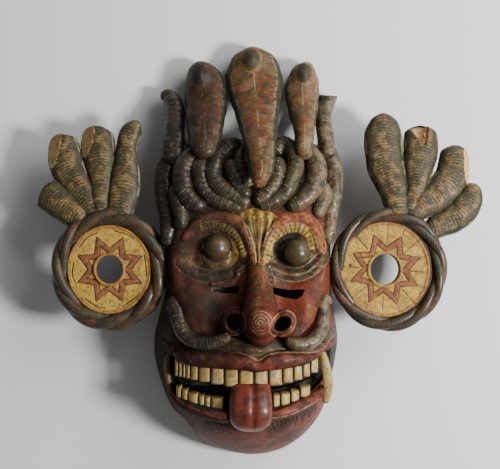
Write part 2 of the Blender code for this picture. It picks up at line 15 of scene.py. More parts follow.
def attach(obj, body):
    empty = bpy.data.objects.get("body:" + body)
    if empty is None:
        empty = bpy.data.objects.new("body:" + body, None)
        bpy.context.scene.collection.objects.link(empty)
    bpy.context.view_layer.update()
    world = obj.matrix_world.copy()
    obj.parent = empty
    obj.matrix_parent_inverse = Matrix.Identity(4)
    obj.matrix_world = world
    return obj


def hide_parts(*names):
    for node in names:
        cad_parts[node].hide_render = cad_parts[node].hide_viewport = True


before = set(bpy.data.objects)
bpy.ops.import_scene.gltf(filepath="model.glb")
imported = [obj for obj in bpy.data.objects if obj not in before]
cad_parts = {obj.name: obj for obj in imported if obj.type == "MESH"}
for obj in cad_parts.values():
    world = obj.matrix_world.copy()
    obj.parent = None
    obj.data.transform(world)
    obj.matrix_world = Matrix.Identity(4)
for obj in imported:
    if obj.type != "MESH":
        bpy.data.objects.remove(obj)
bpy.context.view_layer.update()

MM = 0.001
UP = np.array([0.0, 0.0, 1.0])

# Camera and light, round a mask that lies face up
CAMERA_PLACE = (-8.7, 17.7, 1300.0)
PHOTO_WIDTH = 500.0
FOCAL_PIXELS = 1240.0
SENSOR = 36.0
KEY_PLACE = (1120.0, -190.0, 1150.0)
KEY_SIZE = 0.3
KEY_POWER = 39.0
FILL_PLACE = (860.0, 740.0, 820.0)
FILL_SIZE = 0.9
FILL_POWER = 17.0
SKY = (0.80, 0.79, 0.775)
SKY_STRENGTH = 0.225
FLOOR_SIZE = 24.0
FLOOR_PAINT = (0.77, 0.78, 0.80)

# Head block
HEAD_RISE = 84.0
HEAD_CENTRE = np.array([-10.0, -52.0])
WALL = 13.0
DOME_FLATNESS = 5
TEMPLE_FLATNESS = 19
TEMPLE_TALL = 30.0
RELIEF_FLATNESS = 6
HEAD_OUTLINE = (
    (-8.7, 117.0), (-55.0, 116.0), (-92.0, 104.0), (-105.0, 78.0), (-103.0, 45.0),
    (-97.0, 6.0), (-95.0, -30.0), (-101.0, -58.0), (-108.0, -88.0), (-106.0, -118.0),
    (-92.0, -158.0), (-76.0, -175.0), (-58.0, -196.0), (-28.0, -208.0), (0.0, -210.5),
    (28.0, -203.0), (52.0, -185.0), (69.0, -158.0), (80.0, -110.0), (82.0, -84.0),
    (76.0, -50.0), (74.5, -18.0), (75.0, 12.0), (82.0, 45.0), (86.0, 78.0),
    (76.0, 104.0), (42.0, 116.0),
)
RELIEF = (
    (-44.0, -6.0, -9.0, 26.0, 20.0),
    (37.0, -3.0, -9.0, 24.0, 20.0),
    (1.0, 22.0, 5.0, 34.0, 24.0),
    (-62.0, -52.0, 10.0, 24.0, 24.0),
    (46.0, -54.0, 10.0, 22.0, 24.0),
    (1.0, -44.0, 12.0, 15.0, 34.0),
    (-8.0, -98.0, 22.0, 62.0, 24.0),
    (-9.0, -166.0, 27.0, 56.0, 28.0),
)
SPOKES = 620
HEAD_RINGS = 132
COARSE_RINGS = 105          # those of the head's rings inside the share below
COARSE_SHARE = 0.86
HOLLOW_RINGS = 14

# Points round a section or along a curve
ROUND_SIDES = 72            # eyeballs, tongue and hoods of the crown
EAR_HOOD_SIDES = 56
BOARD_SIDES = 288
NOSTRIL_SIDES = 28
MOUTH_STEPS = 16
DOME_STEPS = 44
TOOTH_COLUMNS, TOOTH_ROWS = 23, 25
ROUNDEL_RINGS = 56
ROPE_STEPS, ROPE_SIDES = 420, 30

# Eyes and brows
EYEBALLS = ((-41.0, 5.0, 82.0), (37.4, 0.2, 86.0))
EYEBALL_RADIUS = 12.9
EYE_BULGES = ((-45.0, -6.0, 70.0), (37.0, -1.0, 72.0))
EYE_BULGE_SIZE = (25.0, 18.0, 13.0)
IRIS = (-37.5, 0.6)
IRIS_RADIUS = 18.2
SOCKET = (33.2, 1.4)
SOCKET_SIZE = (20.5, 18.6)
LASH_LEFT = ((-55.3, 23.9, 4.0), (-44.1, 27.6, 4.2), (-32.8, 23.9, 4.2), (-24.1, 16.3, 4.0),
             (-19.2, 7.6, 3.8), (-15.2, -0.7, 3.4))
LASH_RIGHT = ((8.2, -4.9, 3.8), (13.2, 10.2, 4.6), (22.0, 20.1, 5.0), (34.4, 25.1, 5.4),
              (45.6, 21.3, 5.2), (51.9, 12.6, 4.8), (54.3, 2.6, 4.2))
BROW_LEFT = ((-73.2, 14.2, 4.0), (-63.9, 27.6, 5.0), (-52.8, 33.8, 5.4), (-39.0, 35.7, 5.6),
             (-26.7, 33.8, 5.6), (-19.1, 29.1, 5.4), (-12.2, 18.0, 4.8), (-8.0, 4.0, 4.2), (-6.4, -8.0, 3.4))
BROW_RIGHT = ((4.4, -7.0, 3.6), (6.5, 8.0, 4.6), (13.0, 21.5, 5.4), (24.0, 31.6, 6.0), (37.0, 35.6, 6.2),
              (49.0, 31.6, 6.0), (57.5, 19.0, 5.2), (60.6, 4.0, 4.4))
LID_LEFT = ((-76.5, -9.7, 4.8), (-67.5, -17.4, 6.2), (-56.8, -22.2, 6.8), (-38.7, -22.8, 6.6),
            (-21.7, -15.6, 5.0))
LID_RIGHT = ((11.1, -13.9, 5.0), (24.5, -20.2, 6.4), (37.0, -21.8, 6.8), (49.5, -17.6, 6.4),
             (63.0, -5.4, 4.8))
CHEEK_ROLL = ((-46.0, -31.0, 2.6), (-34.0, -30.6, 3.4), (-25.0, -28.0, 3.4), (-20.5, -22.5, 2.6))
FAN_TOP = ((-18.6, 37.0), (-11.7, 41.9), (-0.5, 43.5), (10.8, 40.1), (18.3, 35.1))
FAN_LEFT = ((-9.0, -4.2), (5.0, -6.4), (15.0, -9.6), (25.0, -14.0), (37.0, -19.4))
FAN_RIGHT = ((-9.0, 3.6), (5.0, 4.6), (15.0, 8.0), (25.0, 14.0), (35.0, 18.9))
FAN_STROKES = (((-14.8, 33.0), (-8.6, 16.0)), ((-6.6, 34.0), (-3.4, 11.0)), ((1.6, 34.0), (0.6, 8.0)),
               ((9.2, 33.0), (4.2, 12.0)), ((14.4, 31.0), (9.0, 20.0)))

FAN_FLUTES = 46
LID_CUTS = (5.4, 0.35, 2.6)     # reach from the lid's middle, depth and pitch
# Ochre wear; the first patch, along the nose ridge, is also its painted highlight.
WORN_AND_HIGHLIT_PATCHES = ((0.5, -25.0, 7.0, 12.0), (-67.0, -8.0, 12.0, 5.0), (62.0, 12.0, 7.0, 16.0),
                (-2.0, -52.0, 5.0, 8.0), (52.0, -60.0, 8.0, 9.0))

# Nose
NOSE_RIDGE = ((-0.5, -8.0, 81, 10), (0.5, -28.0, 88, 12.5), (1.0, -46.0, 98, 15.5), (1.0, -62.0, 109, 18.0),
              (1.5, -73.0, 105, 17.0))
NOSE_TIP = (2.0, -66.0, 118.5)
NOSE_TIP_RADIUS = 15.5
NOSTRILS = ((-24.0, -68.0, 98.0), (24.0, -70.0, 98.0))
NOSTRIL_RADIUS = 13.2
NOSTRIL_BORES = ((-24.0, -66.6, 7.6, 8.8, -8.0), (22.6, -68.4, 9.2, 7.0, 35.0))
SPIRAL_RADII = (2.2, 4.9, 7.6, 10.6)
SPIRAL_CUT = (0.55, 0.6)   # how deep and how wide
NOSE_ARCH = ((-23.0, -19.0, 2.2), (-14.0, -12.5, 2.8), (-4.0, -10.5, 3.0), (6.0, -14.0, 2.8),
              (13.0, -28.0, 2.0))

# Moustache
MOUSTACHE_LEFT = ((-27.0, -80.0, 104, 4.6), (-38.7, -85.0, 104, 6.2), (-52.3, -88.0, 101, 6.9),
                  (-65.0, -85.6, 95, 7.1), (-74.5, -77.0, 89, 7.4), (-78.5, -66.8, 83, 8.0),
                  (-80.0, -57.0, 79, 9.2), (-83.0, -49.5, 75, 10.2), (-87.0, -45.5, 71, 9.0))
MOUSTACHE_RIGHT = ((25.0, -83.6, 104, 4.6), (34.8, -88.2, 104, 6.2), (46.6, -88.2, 99, 6.9),
                   (57.3, -80.5, 93, 6.9), (62.4, -69.5, 87, 6.4), (62.6, -58.0, 82, 6.0),
                   (62.6, -49.6, 78, 7.4), (64.6, -44.4, 74, 10.2), (66.0, -41.5, 72, 9.6))
# Top of the dark band under the moustache; its dark is paint and, in part, painted shade of the moustache.
BAND_TOP = ((-97.0, -74.0), (-80.0, -82.0), (-60.0, -84.0), (-30.0, -82.0), (-14.0, -85.0), (0.0, -90.0),
            (11.0, -86.0), (25.0, -82.0), (45.0, -84.0), (60.0, -82.0), (76.0, -74.0))

# Mouth
LIP_TOP = ((-100.0, -82.0), (-80.6, -92.4), (-68.2, -96.5), (-49.8, -95.9), (-29.0, -95.2), (-14.1, -97.1),
           (-0.6, -103.3), (8.0, -98.3), (22.8, -95.9), (38.8, -96.5), (59.7, -95.9), (78.0, -83.0))
LIP_LOW = ((-100.0, -92.0), (-85.7, -101.8), (-68.4, -108.6), (-49.9, -111.1), (-19.1, -112.4), (1.9, -112.9),
           (24.1, -111.1), (42.6, -106.8), (57.5, -101.8), (78.0, -92.0))
LOWER_TOP = ((-100.0, -118.0), (-86.4, -135.4), (-76.7, -145.1), (-57.3, -151.9), (-35.9, -153.8),
             (12.7, -152.8), (25.3, -149.9), (39.9, -144.1), (52.5, -137.3), (62.0, -129.0), (74.0, -118.0))
LOWER_LINE = ((-92.0, -132.0), (-82.1, -142.5), (-68.4, -149.2), (-52.4, -154.9), (-35.1, -159.9),
              (13.0, -159.2), (30.3, -156.8), (47.6, -150.0), (63.6, -142.5), (72.0, -132.0))
UPPER_LIP = ((-84.0, -95.0, 76, 6), (-67.0, -102.0, 92, 8), (-34.0, -103.8, 102, 9), (-14.0, -105.0, 105, 9),
             (-1.0, -108.0, 105, 7.5), (12.0, -104.6, 104, 9), (26.0, -103.4, 101, 9), (47.0, -100.0, 92, 8),
             (62.0, -92.0, 78, 6))
LOWER_LIPS = (((-86.0, -140.0, 70, 4), (-76.0, -147.6, 80, 5.6), (-57.0, -154.4, 91, 6.6),
               (-33.0, -158.5, 98, 6.8)),
              ((11.0, -157.0, 99, 6.8), (30.0, -153.8, 94, 6.6), (47.0, -146.8, 85, 5.8),
               (62.0, -138.0, 72, 4.2)))
MOUTH_SINK = 15.0
MOUTH_TOP = ((-87.4, -122.0), (-77.4, -123.4), (-48.8, -127.8), (-21.6, -131.5), (8.1, -130.8),
             (21.8, -128.9), (41.6, -124.7), (60.0, -117.0))
MOUTH_LOW = ((-86.0, -128.0), (-68.7, -135.7), (-56.3, -138.9), (-36.5, -140.8), (11.9, -138.3),
             (30.5, -135.7), (42.8, -132.1), (56.0, -127.0))
MOUTH_GAPS = ((-80.0, -29.0), (12.0, 54.0))
GAP_INSET = 3.0
TEETH_X = -12.4
TEETH_Z = 91.0
TEETH_SWEEP = 0.0042
TOOTH_DEEP = 13.0
UPPER_TEETH = (-83.2, -79.4, -75.4, -71.8, -67.4, -59.3, -47.3, -33.8,
               -19.8, -5.0, 9.1, 23.0, 33.7, 42.9, 50.6, 58.9)
LOWER_TEETH_LEFT = (-82.0, -76.2, -69.8, -59.2, -53.0, -47.2, -34.6)
LOWER_TEETH_RIGHT = (13.2, 20.8, 30.8, 40.0, 51.0)
TOOTH_GAP = 0.35
TONGUE_X = -8.0
TONGUE_HALF = 20.9
TUSKS = (((-88.6, -98.0, 66, 2.2), (-91.5, -114.0, 66, 3.4), (-89.0, -131.0, 66, 2.4)),
         ((63.0, -98.0, 74, 3.0), (67.0, -116.0, 72, 4.6), (68.8, -134.0, 68, 4.9), (66.5, -151.0, 62, 3.2)))
TUSK_HALF_DEEP = 2.6
SIGHT_SLITS = (((-46.9, -33.6), (-33.0, -34.2), (-19.2, -31.8), (-20.5, -41.0), (-33.0, -40.2),
                (-45.1, -38.2)),
               ((13.3, -33.6), (28.0, -36.4), (44.7, -35.9), (42.3, -42.3), (36.0, -46.1), (24.7, -44.2),
                (14.6, -41.0)))
CUT_TOP = 170.0
CUT_FOOT = 30.0
CHIN_FOLD = ((-86.7, -152.8), (-81.7, -160.8), (-74.3, -170.8), (-64.0, -184.0))
BEARD_TOP = ((-52.0, -161.0), (-35.0, -166.0), (13.0, -161.0), (30.3, -159.0), (47.6, -152.5), (60.0, -147.0))
BEARD_LONG = 13.0

# Hairline and hair of snakes: lift over the scalp, then x, y, radius
HAIRLINE = ((-112.0, -8.0), (-99.0, -4.0), (-87.0, 6.0), (-78.0, 24.0), (-68.0, 36.0), (-57.6, 39.7),
            (-38.0, 41.2), (-18.5, 40.7), (-0.9, 45.6), (16.7, 40.7), (30.4, 46.5), (45.1, 50.4),
            (57.0, 46.0), (64.0, 30.0), (69.0, 10.0), (76.0, 0.0), (90.0, -4.0))
SCALP_EDGE = 0.93
HAIR = (
    (3, ((-16.5, 109.3, 9.9), (-31.2, 101.5, 9.9), (-43.0, 88.7, 9.9), (-45.9, 74.0, 9.9),
         (-37.1, 62.3, 9.9), (-22.4, 53.5, 8.7), (-8.7, 47.0, 7.7))),
    (5, ((-29.3, 90.7, 7.7), (-25.4, 77.0, 7.7), (-18.5, 64.2, 7.7), (-9.7, 52.5, 6.6))),
    (2, ((-11.0, 104.0, 8.3), (-18.5, 92.0, 8.3), (-15.5, 78.0, 8.3), (-9.0, 64.0, 7.7))),
    (2, ((-54.8, 104.0, 9.9), (-57.7, 82.9, 9.9), (-56.7, 67.2, 9.3), (-47.9, 55.4, 8.3),
         (-32.2, 47.6, 7.7), (-15.6, 43.6, 6.6))),
    (4, ((-56.7, 101.5, 9.9), (-69.5, 92.7, 11.0), (-75.3, 78.0, 10.4), (-73.4, 61.3, 9.9),
         (-64.6, 48.6, 8.7), (-51.8, 43.7, 6.6))),
    (3, ((-81.2, 104.0, 9.9), (-92.0, 87.8, 11.0), (-94.0, 71.1, 11.0), (-93.0, 54.4, 10.2),
         (-90.0, 38.0, 9.3), (-89.5, 22.0, 8.2), (-91.5, 6.0, 6.4))),
    (2, ((-84.0, 66.0, 8.0), (-80.0, 50.0, 8.6), (-76.0, 36.0, 7.8), (-78.0, 22.0, 6.0))),
    (4, ((14.8, 98.5, 8.7), (24.6, 107.4, 9.3), (33.4, 100.5, 9.3), (36.4, 88.7, 8.7),
         (32.5, 73.1, 8.7), (25.6, 59.3, 8.3), (12.9, 49.5, 7.7), (-0.9, 46.6, 6.6))),
    (5, ((17.8, 92.7, 8.3), (18.7, 78.9, 8.3), (13.8, 65.2, 7.7), (4.0, 54.4, 7.7),
         (-4.8, 48.6, 6.6))),
    (3, ((44.2, 104.5, 8.7), (55.0, 92.7, 10.4), (57.9, 78.0, 10.4), (53.0, 63.3, 9.9),
         (42.3, 50.5, 8.7), (27.5, 43.6, 7.2))),
    (3, ((68.7, 104.0, 8.8), (74.5, 87.8, 8.8), (75.5, 71.1, 9.3), (74.0, 55.4, 8.8),
         (71.5, 40.0, 8.0), (69.5, 24.0, 7.2), (69.0, 8.0, 5.8))),
    (2, ((62.0, 70.0, 7.6), (64.5, 56.0, 7.8), (60.0, 43.0, 7.0), (58.0, 34.0, 5.6))),
)

# Crown of cobras: x, y, z, half width; their snouts: x, y, half width, half height, rise
HOOD_HALF_DEEP = 11.0
CROWN = {
    "mid": ((-1.5, 62.5, 104, 5.8), (0.6, 71.0, 105, 8.6), (2.6, 81.0, 101, 12.0),
            (1.9, 100.4, 88, 15.0), (-0.2, 123.9, 66, 18.9), (-2.6, 154.6, 39, 25.6),
            (-4.6, 179.4, 25, 29.3), (-5.6, 199.0, 18, 22.7), (-6.1, 211.8, 16, 11.0)),
    "left": ((-57.0, 92.0, 70, 12.0), (-55.2, 101.0, 69, 14.0), (-53.5, 113.0, 62, 16.3),
             (-53.9, 129.0, 50, 19.0), (-53.6, 152.8, 34, 21.6),
             (-56.0, 174.6, 22, 20.0), (-59.3, 189.6, 17, 13.4), (-60.2, 197.0, 15, 7.2)),
    "right": ((44.5, 92.0, 72, 8.5), (45.2, 109.4, 66, 9.4), (45.5, 124.2, 56, 11.0),
              (44.9, 141.6, 43, 14.7), (44.6, 163.4, 28, 17.9), (46.4, 179.8, 20, 15.4),
              (49.6, 191.4, 16, 9.3), (50.0, 196.5, 15, 5.5)),
    "far_left": ((-84.0, 84.5, 58, 13.0), (-85.2, 111.2, 46, 12.4),
                 (-85.6, 136.6, 31, 11.0), (-87.7, 152.6, 22, 9.9),
                 (-94.0, 160.5, 18, 7.6), (-101.0, 158.4, 17, 5.6)),
    "far_right": ((70.4, 92.0, 56, 9.6), (67.3, 117.5, 45, 8.6), (65.8, 139.7, 31, 8.8),
                  (69.0, 151.0, 23, 9.0), (71.0, 160.0, 20, 10.6), (72.0, 172.0, 18, 11.4)),
}
FAR_RIGHT_CUT = ((72.0, 161.0, 20.0), (0.06, 1.0, 0.1))
SNOUTS = {"mid": (-8.0, 197.0, 10.0, 12.5, 7.0), "left": (-61.0, 180.5, 9.0, 12.0, 6.5),
          "right": (46.5, 183.0, 9.0, 12.0, 6.5)}

# Ear boards; their cobras are in shares of the ring's radius
MID_X = -9.7
SEAT_HALF = 80.4
SEAT_GAP = 0.3
SEAT_TALL = 50.0
SEAT_LOW = 42.0
SEAT_BITE = 1.25
EAR_Y = -17.0
EAR_HEIGHT = 56.0
EAR_SWEEP = 2.0
EAR_SQUEEZE = 0.95
PLATE_HALF = 8.0
RING_RADIUS = 52.5
RING_HALF = 9.8
STRANDS = 3
STRAND_TURNS = 3
EDGE = 2.5
ROUNDEL_RISE = 4.0
BORE_FLARE = 2.0        # height from which each hole widens toward the back
EAR_HOOD_DEEP = 9.5
NECK_WIDEN = 0.2
FAN_SHIFT = (3.3, 2.6)  # outward and up, from the necks on
STAR_POINTS = 8
STAR_BAND = 5.2
EARS = (
    {
        "name": "left", "side": -1, "roundel": 44.0, "hole": 14.0, "hole_shift": 0.0,
        "star": (21.5, 34.5), "star_turn": 22.0, "spokes": 0, "nail": None, "hub": 1.7,
        "rope": (52.5, 6.2, 3.6),
        "breaks": {1: ((-24.5, 134.0, -12.5), (-0.66, 0.3, 0.70)),
                   2: ((-58.5, 123.0, -10.5), (-0.66, 0.25, 0.71)),
                   3: ((-67.0, 76.0, 0.0), (-0.97, 0.25, 0.05))},
        "notches": {},
        "cobras": (
            ((0.152, 0.952, 0.038, 0.19), (0.206, 1.086, 0.019, 0.229),
             (0.314, 1.501, -0.038, 0.267), (0.35, 1.88, -0.133, 0.244),
             (0.35, 2.257, -0.229, 0.21), (0.4, 2.522, -0.305, 0.21),
             (0.495, 2.691, -0.343, 0.162), (0.59, 2.777, -0.343, 0.095)),
            ((-0.19, 0.952, 0, 0.152), (-0.162, 1.143, 0, 0.162), (-0.128, 1.501, -0.057, 0.19),
             (-0.149, 1.88, -0.152, 0.267), (-0.21, 2.257, -0.248, 0.333),
             (-0.244, 2.522, -0.324, 0.324), (-0.238, 2.714, -0.362, 0.238)),
            ((-0.267, 0.952, -0.019, 0.152), (-0.343, 1.162, -0.019, 0.19),
             (-0.562, 1.501, -0.076, 0.257), (-0.777, 1.88, -0.171, 0.309),
             (-0.886, 2.257, -0.267, 0.32), (-0.939, 2.448, -0.305, 0.267),
             (-0.952, 2.552, -0.324, 0.2)),
            ((-0.457, 0.876, 0, 0.171), (-0.59, 0.99, 0, 0.21), (-0.872, 1.2, -0.038, 0.257),
             (-1.124, 1.39, -0.076, 0.267), (-1.257, 1.495, -0.114, 0.229)),
        ),
    },
    {
        "name": "right", "side": 1, "roundel": 47.0, "hole": 15.5, "hole_shift": -4.0,
        "star": (23.0, 36.5), "star_turn": 18.5, "spokes": 8, "nail": (-35.0, 4.0), "hub": 0.5,
        "rope": (54.1, 5.0, 3.2),
        "breaks": {2: ((80.0, 110.0, -9.0), (0.86, 0.1, 0.5))},
        "notches": {1: ((35.5, 120.0), (-15.0, 20.0), (3.0, 20.0), 11.0)},
        "cobras": (
            ((0.19, 0.952, 0.038, 0.19), (0.16, 1.162, 0.019, 0.2), (0.044, 1.501, -0.038, 0.251),
             (-0.076, 1.88, -0.133, 0.324), (-0.114, 2.257, -0.229, 0.366),
             (-0.107, 2.56, -0.305, 0.358), (-0.101, 2.81, -0.343, 0.257),
             (-0.095, 2.962, -0.362, 0.114)),
            ((0.381, 1.029, 0, 0.152), (0.41, 1.274, -0.019, 0.152),
             (0.476, 1.501, -0.057, 0.181), (0.541, 1.88, -0.152, 0.276),
             (0.61, 2.257, -0.248, 0.335), (0.617, 2.533, -0.324, 0.32),
             (0.617, 2.724, -0.362, 0.229)),
            ((0.419, 0.952, -0.019, 0.19), (0.533, 1.124, -0.019, 0.21),
             (0.834, 1.312, -0.057, 0.257), (1.114, 1.577, -0.114, 0.29),
             (1.248, 1.88, -0.19, 0.305), (1.276, 2.145, -0.248, 0.286),
             (1.295, 2.333, -0.286, 0.19)),
            ((0.724, 0.762, -0.038, 0.171), (0.971, 0.829, -0.038, 0.2),
             (1.343, 1.029, -0.057, 0.238), (1.524, 1.257, -0.095, 0.234),
             (1.562, 1.467, -0.133, 0.171), (1.533, 1.6, -0.152, 0.105)),
        ),
    },
)


def smooth_route(points, step):
    """Rows of numbers on an even curve through the given ones."""
    rows = np.array(points, float)
    padded = np.vstack([2 * rows[0] - rows[1], rows, 2 * rows[-1] - rows[-2]])
    spans = []
    for a, b, c, d in zip(padded, padded[1:], padded[2:], padded[3:]):
        count = max(2, int(np.linalg.norm((c - b)[:2]) / step))
        t = np.linspace(0, 1, count, endpoint=False)[:, None]
        spans.append(0.5 * (2 * b + (c - a) * t + (2 * a - 5 * b + 4 * c - d) * t ** 2
                            + (3 * b - a - 3 * c + d) * t ** 3))
    spans.append(rows[-1:])
    return np.vstack(spans)


def closed_outline(points, count):
    """Even points on a closed smooth curve."""
    rows = [*points[-2:], *points, *points[:3]]
    fine = smooth_route(rows, 1.0)
    gap = np.linalg.norm(fine - points[0], axis=1)
    first = np.argmin(gap)
    later = first + 20 + np.argmin(gap[first + 20:])
    loop = fine[first:later + 1]
    travelled = travel(loop)
    even = np.linspace(0, travelled[-1], count, endpoint=False)
    return np.stack([np.interp(even, travelled, loop[:, n]) for n in (0, 1)], -1)


def travel(line):
    """How far along a line each of its points lies."""
    return np.concatenate([[0], np.cumsum(np.linalg.norm(np.diff(line, axis=0), axis=1))])


def circle(count):
    """Angles that divide a whole turn evenly."""
    return np.linspace(0, 2 * math.pi, count, endpoint=False)


def to_line(x, y, route, step=2.0):
    """Distance to a smooth line, the way along it, and the line's other numbers where nearest."""
    line = smooth_route(route, step)
    travelled = travel(line[:, :2])
    nearest = np.full(x.shape, 1e9)
    along = np.zeros(x.shape)
    for n, (a, b) in enumerate(zip(line[:, :2], line[1:, :2])):
        run = b - a
        t = np.clip(((x - a[0]) * run[0] + (y - a[1]) * run[1]) / max(run @ run, 1e-9), 0, 1)
        gap = (x - a[0] - run[0] * t) ** 2 + (y - a[1] - run[1] * t) ** 2
        closer = gap < nearest
        nearest = np.where(closer, gap, nearest)
        along = np.where(closer, travelled[n] + t * (travelled[n + 1] - travelled[n]), along)
    rest = [np.interp(along, travelled, line[:, n]) for n in range(2, line.shape[1])]
    return np.sqrt(nearest), along, rest


def gap_to(x, y, route):
    """Distance to a smooth line."""
    return to_line(x, y, route)[0]


def drawn(gap, away, half):
    """Signed distance to a drawn line, from the distance to its guide and how far away it runs."""
    return np.abs(gap - away) - half


def curve_at(x, points):
    """Height of a curve, given by points of x and y, at each x."""
    line = smooth_route(points, 1.0)
    return np.interp(x, line[:, 0], line[:, 1])


def soft_max(a, b, blend):
    """The higher of two surfaces, with a fillet of the given size."""
    share = np.clip(0.5 + 0.5 * (b - a) / blend, 0, 1)
    return a * (1 - share) + b * share + blend * share * (1 - share)


def raise_tube(z, x, y, route, blend=0.8):
    """Adds a round ridge along points of x, y, z and radius."""
    gap, _, (middle, radius) = to_line(x, y, route)
    top = np.where(gap < radius, middle + np.sqrt(np.clip(radius ** 2 - gap ** 2, 0, None)), -1e3)
    return soft_max(z, top, blend)


def swell(z, x, y, route, rise):
    """Raises a band of the surface itself, along points of x, y and half width."""
    gap, _, (half,) = to_line(x, y, route)
    return z + rise * np.clip(1 - (gap / half) ** 2, 0, 1) ** 0.7


def raise_ball(z, x, y, centre, size, blend=0.8):
    """Adds the upper half of an egg."""
    inside = 1 - ((x - centre[0]) / size[0]) ** 2 - ((y - centre[1]) / size[1]) ** 2
    top = np.where(inside > 0, centre[2] + size[2] * np.sqrt(np.clip(inside, 0, None)), -1e3)
    return soft_max(z, top, blend)


def groove(z, x, y, route, deep, wide):
    """Cuts a soft line into the surface."""
    gap = gap_to(x, y, route)
    return z - deep * np.exp(-(gap / wide) ** 2)


def dome(share, y):
    """Height of the plain head at a share of the way out to its outline, steepest at the temples."""
    steep = DOME_FLATNESS + TEMPLE_FLATNESS * np.exp(-((y - EAR_Y) / TEMPLE_TALL) ** 2)
    return HEAD_RISE * np.sqrt(np.clip(1 - share ** steep, 0, None))


def relief(x, y):
    """Rise of brows, cheeks, muzzle and chin over the plain head."""
    return sum(rise * np.exp(-((x - cx) / wide) ** 2 - ((y - cy) / tall) ** 2)
               for cx, cy, rise, wide, tall in RELIEF)


def stage_height(x, y, outline):
    """Height of the plain head over points of the floor."""
    heading = np.arctan2(y - HEAD_CENTRE[1], x - HEAD_CENTRE[0])
    around = np.arctan2(outline[:, 1] - HEAD_CENTRE[1], outline[:, 0] - HEAD_CENTRE[0])
    order = np.argsort(around)
    edge = np.interp(heading, around[order], np.linalg.norm(outline - HEAD_CENTRE, axis=1)[order],
                     period=2 * math.pi)
    reach = np.hypot(x - HEAD_CENTRE[0], y - HEAD_CENTRE[1])
    return dome(np.minimum(reach / edge, SCALP_EDGE), y)


def tool_marks(x, y, size, deep):
    """Shallow facets that a gouge leaves, as crossing waves of three headings."""
    marks = 0
    for n, heading in enumerate((0.4, 1.7, 2.9)):
        way = x * math.cos(heading) + y * math.sin(heading)
        side = y * math.cos(heading) - x * math.sin(heading)
        crossing = np.cos(2 * math.pi * side / (size * 1.7) + 2 * n)
        marks = marks + np.sin(2 * math.pi * way / size + n) * crossing
    return marks * deep / 3


def face_height(x, y, share):
    """The carved face: heights over the floor."""
    z = dome(share, y) + relief(x, y) * (1 - share ** RELIEF_FLATNESS)
    upper, lower = curve_at(x, LIP_LOW), curve_at(x, LOWER_TOP)
    within = np.minimum(upper - y, y - lower)
    corner = np.minimum(x + 93, 72 - x)
    z = z - MOUTH_SINK * np.clip(within / 3, 0, 1) * np.clip(corner / 8, 0, 1)
    for centre in EYE_BULGES:
        z = raise_ball(z, x, y, centre, EYE_BULGE_SIZE, 2)
    for route, rise in ((BROW_LEFT, 2.6), (BROW_RIGHT, 2.8), (LASH_LEFT, 1.3), (LASH_RIGHT, 1.3),
                        (LID_LEFT, 1.4), (LID_RIGHT, 2.0), (CHEEK_ROLL, 2.6)):
        z = swell(z, x, y, route, rise)
    reach, deep, pitch = LID_CUTS
    for lid in (LID_LEFT, LID_RIGHT):
        gap = gap_to(x, y, lid)
        z = z - np.where(gap < reach, deep * np.cos(2 * math.pi * gap / pitch) ** 2, 0)
    z = raise_tube(z, x, y, NOSE_RIDGE, 8)
    nostrils = np.full(x.shape, -1e3)
    for centre in NOSTRILS:
        nostrils = raise_ball(nostrils, x, y, centre, (NOSTRIL_RADIUS,) * 3, 0.5)
    z = soft_max(z, nostrils, 4)
    z = raise_ball(z, x, y, NOSE_TIP, (NOSE_TIP_RADIUS,) * 3, 4)
    z = raise_tube(z, x, y, UPPER_LIP, 1.5)
    for route in LOWER_LIPS:
        z = raise_tube(z, x, y, route, 1.5)
    z = groove(z, x, y, LIP_TOP, 2.0, 1.8)
    z = groove(z, x, y, CHIN_FOLD, 3.0, 3.5)
    z = swell(z, x, y, NOSE_ARCH, 1.8)
    from_tip = tip_reach(x, y)
    deep, wide = SPIRAL_CUT
    for radius in SPIRAL_RADII:
        z = z - deep * np.exp(-((from_tip - radius) / wide) ** 2)
    fan = fan_edge(x, y)
    flute = np.cos(np.arctan2(x, y + 34) * FAN_FLUTES)
    z = z + np.where(fan < 0, 0.8 * flute * np.clip(-fan / 2, 0, 1), 0)
    for (bx, by, wide, tall, turn), centre in zip(NOSTRIL_BORES, NOSTRILS):
        gap = egg_reach(x, y, bx, by, wide, tall, turn)
        z = z + 0.7 * np.exp(-((gap - 2.4) / 1.3) ** 2) * (gap > 0)
    return z + tool_marks(x, y, 19, 0.8) + tool_marks(y, x, 7.3, 0.12)


def tip_reach(x, y):
    """Distance to the middle of the spiral on the nose."""
    return np.hypot(x - NOSE_TIP[0] + 0.4, y - NOSE_TIP[1] - 0.5)


def egg_reach(x, y, cx, cy, wide, tall, turn=0.0):
    """Rough signed distance to an oval's edge."""
    c, s = math.cos(math.radians(turn)), math.sin(math.radians(turn))
    u = (x - cx) * c + (y - cy) * s
    v = (y - cy) * c - (x - cx) * s
    return (np.hypot(u / wide, v / tall) - 1) * min(wide, tall)


def fan_edge(x, y):
    """Signed distance to the painted fan between the brows."""
    left = np.interp(y, *zip(*FAN_LEFT))
    right = np.interp(y, *zip(*FAN_RIGHT))
    top = curve_at(x, FAN_TOP)
    return np.maximum.reduce([left - x, x - right, y - top, -9.5 - y])


def strokes_on(along, pitch, wide):
    """Signed distance to evenly spaced strokes across a band."""
    return np.abs((along / pitch) % 1 - 0.5) * pitch - wide / 2


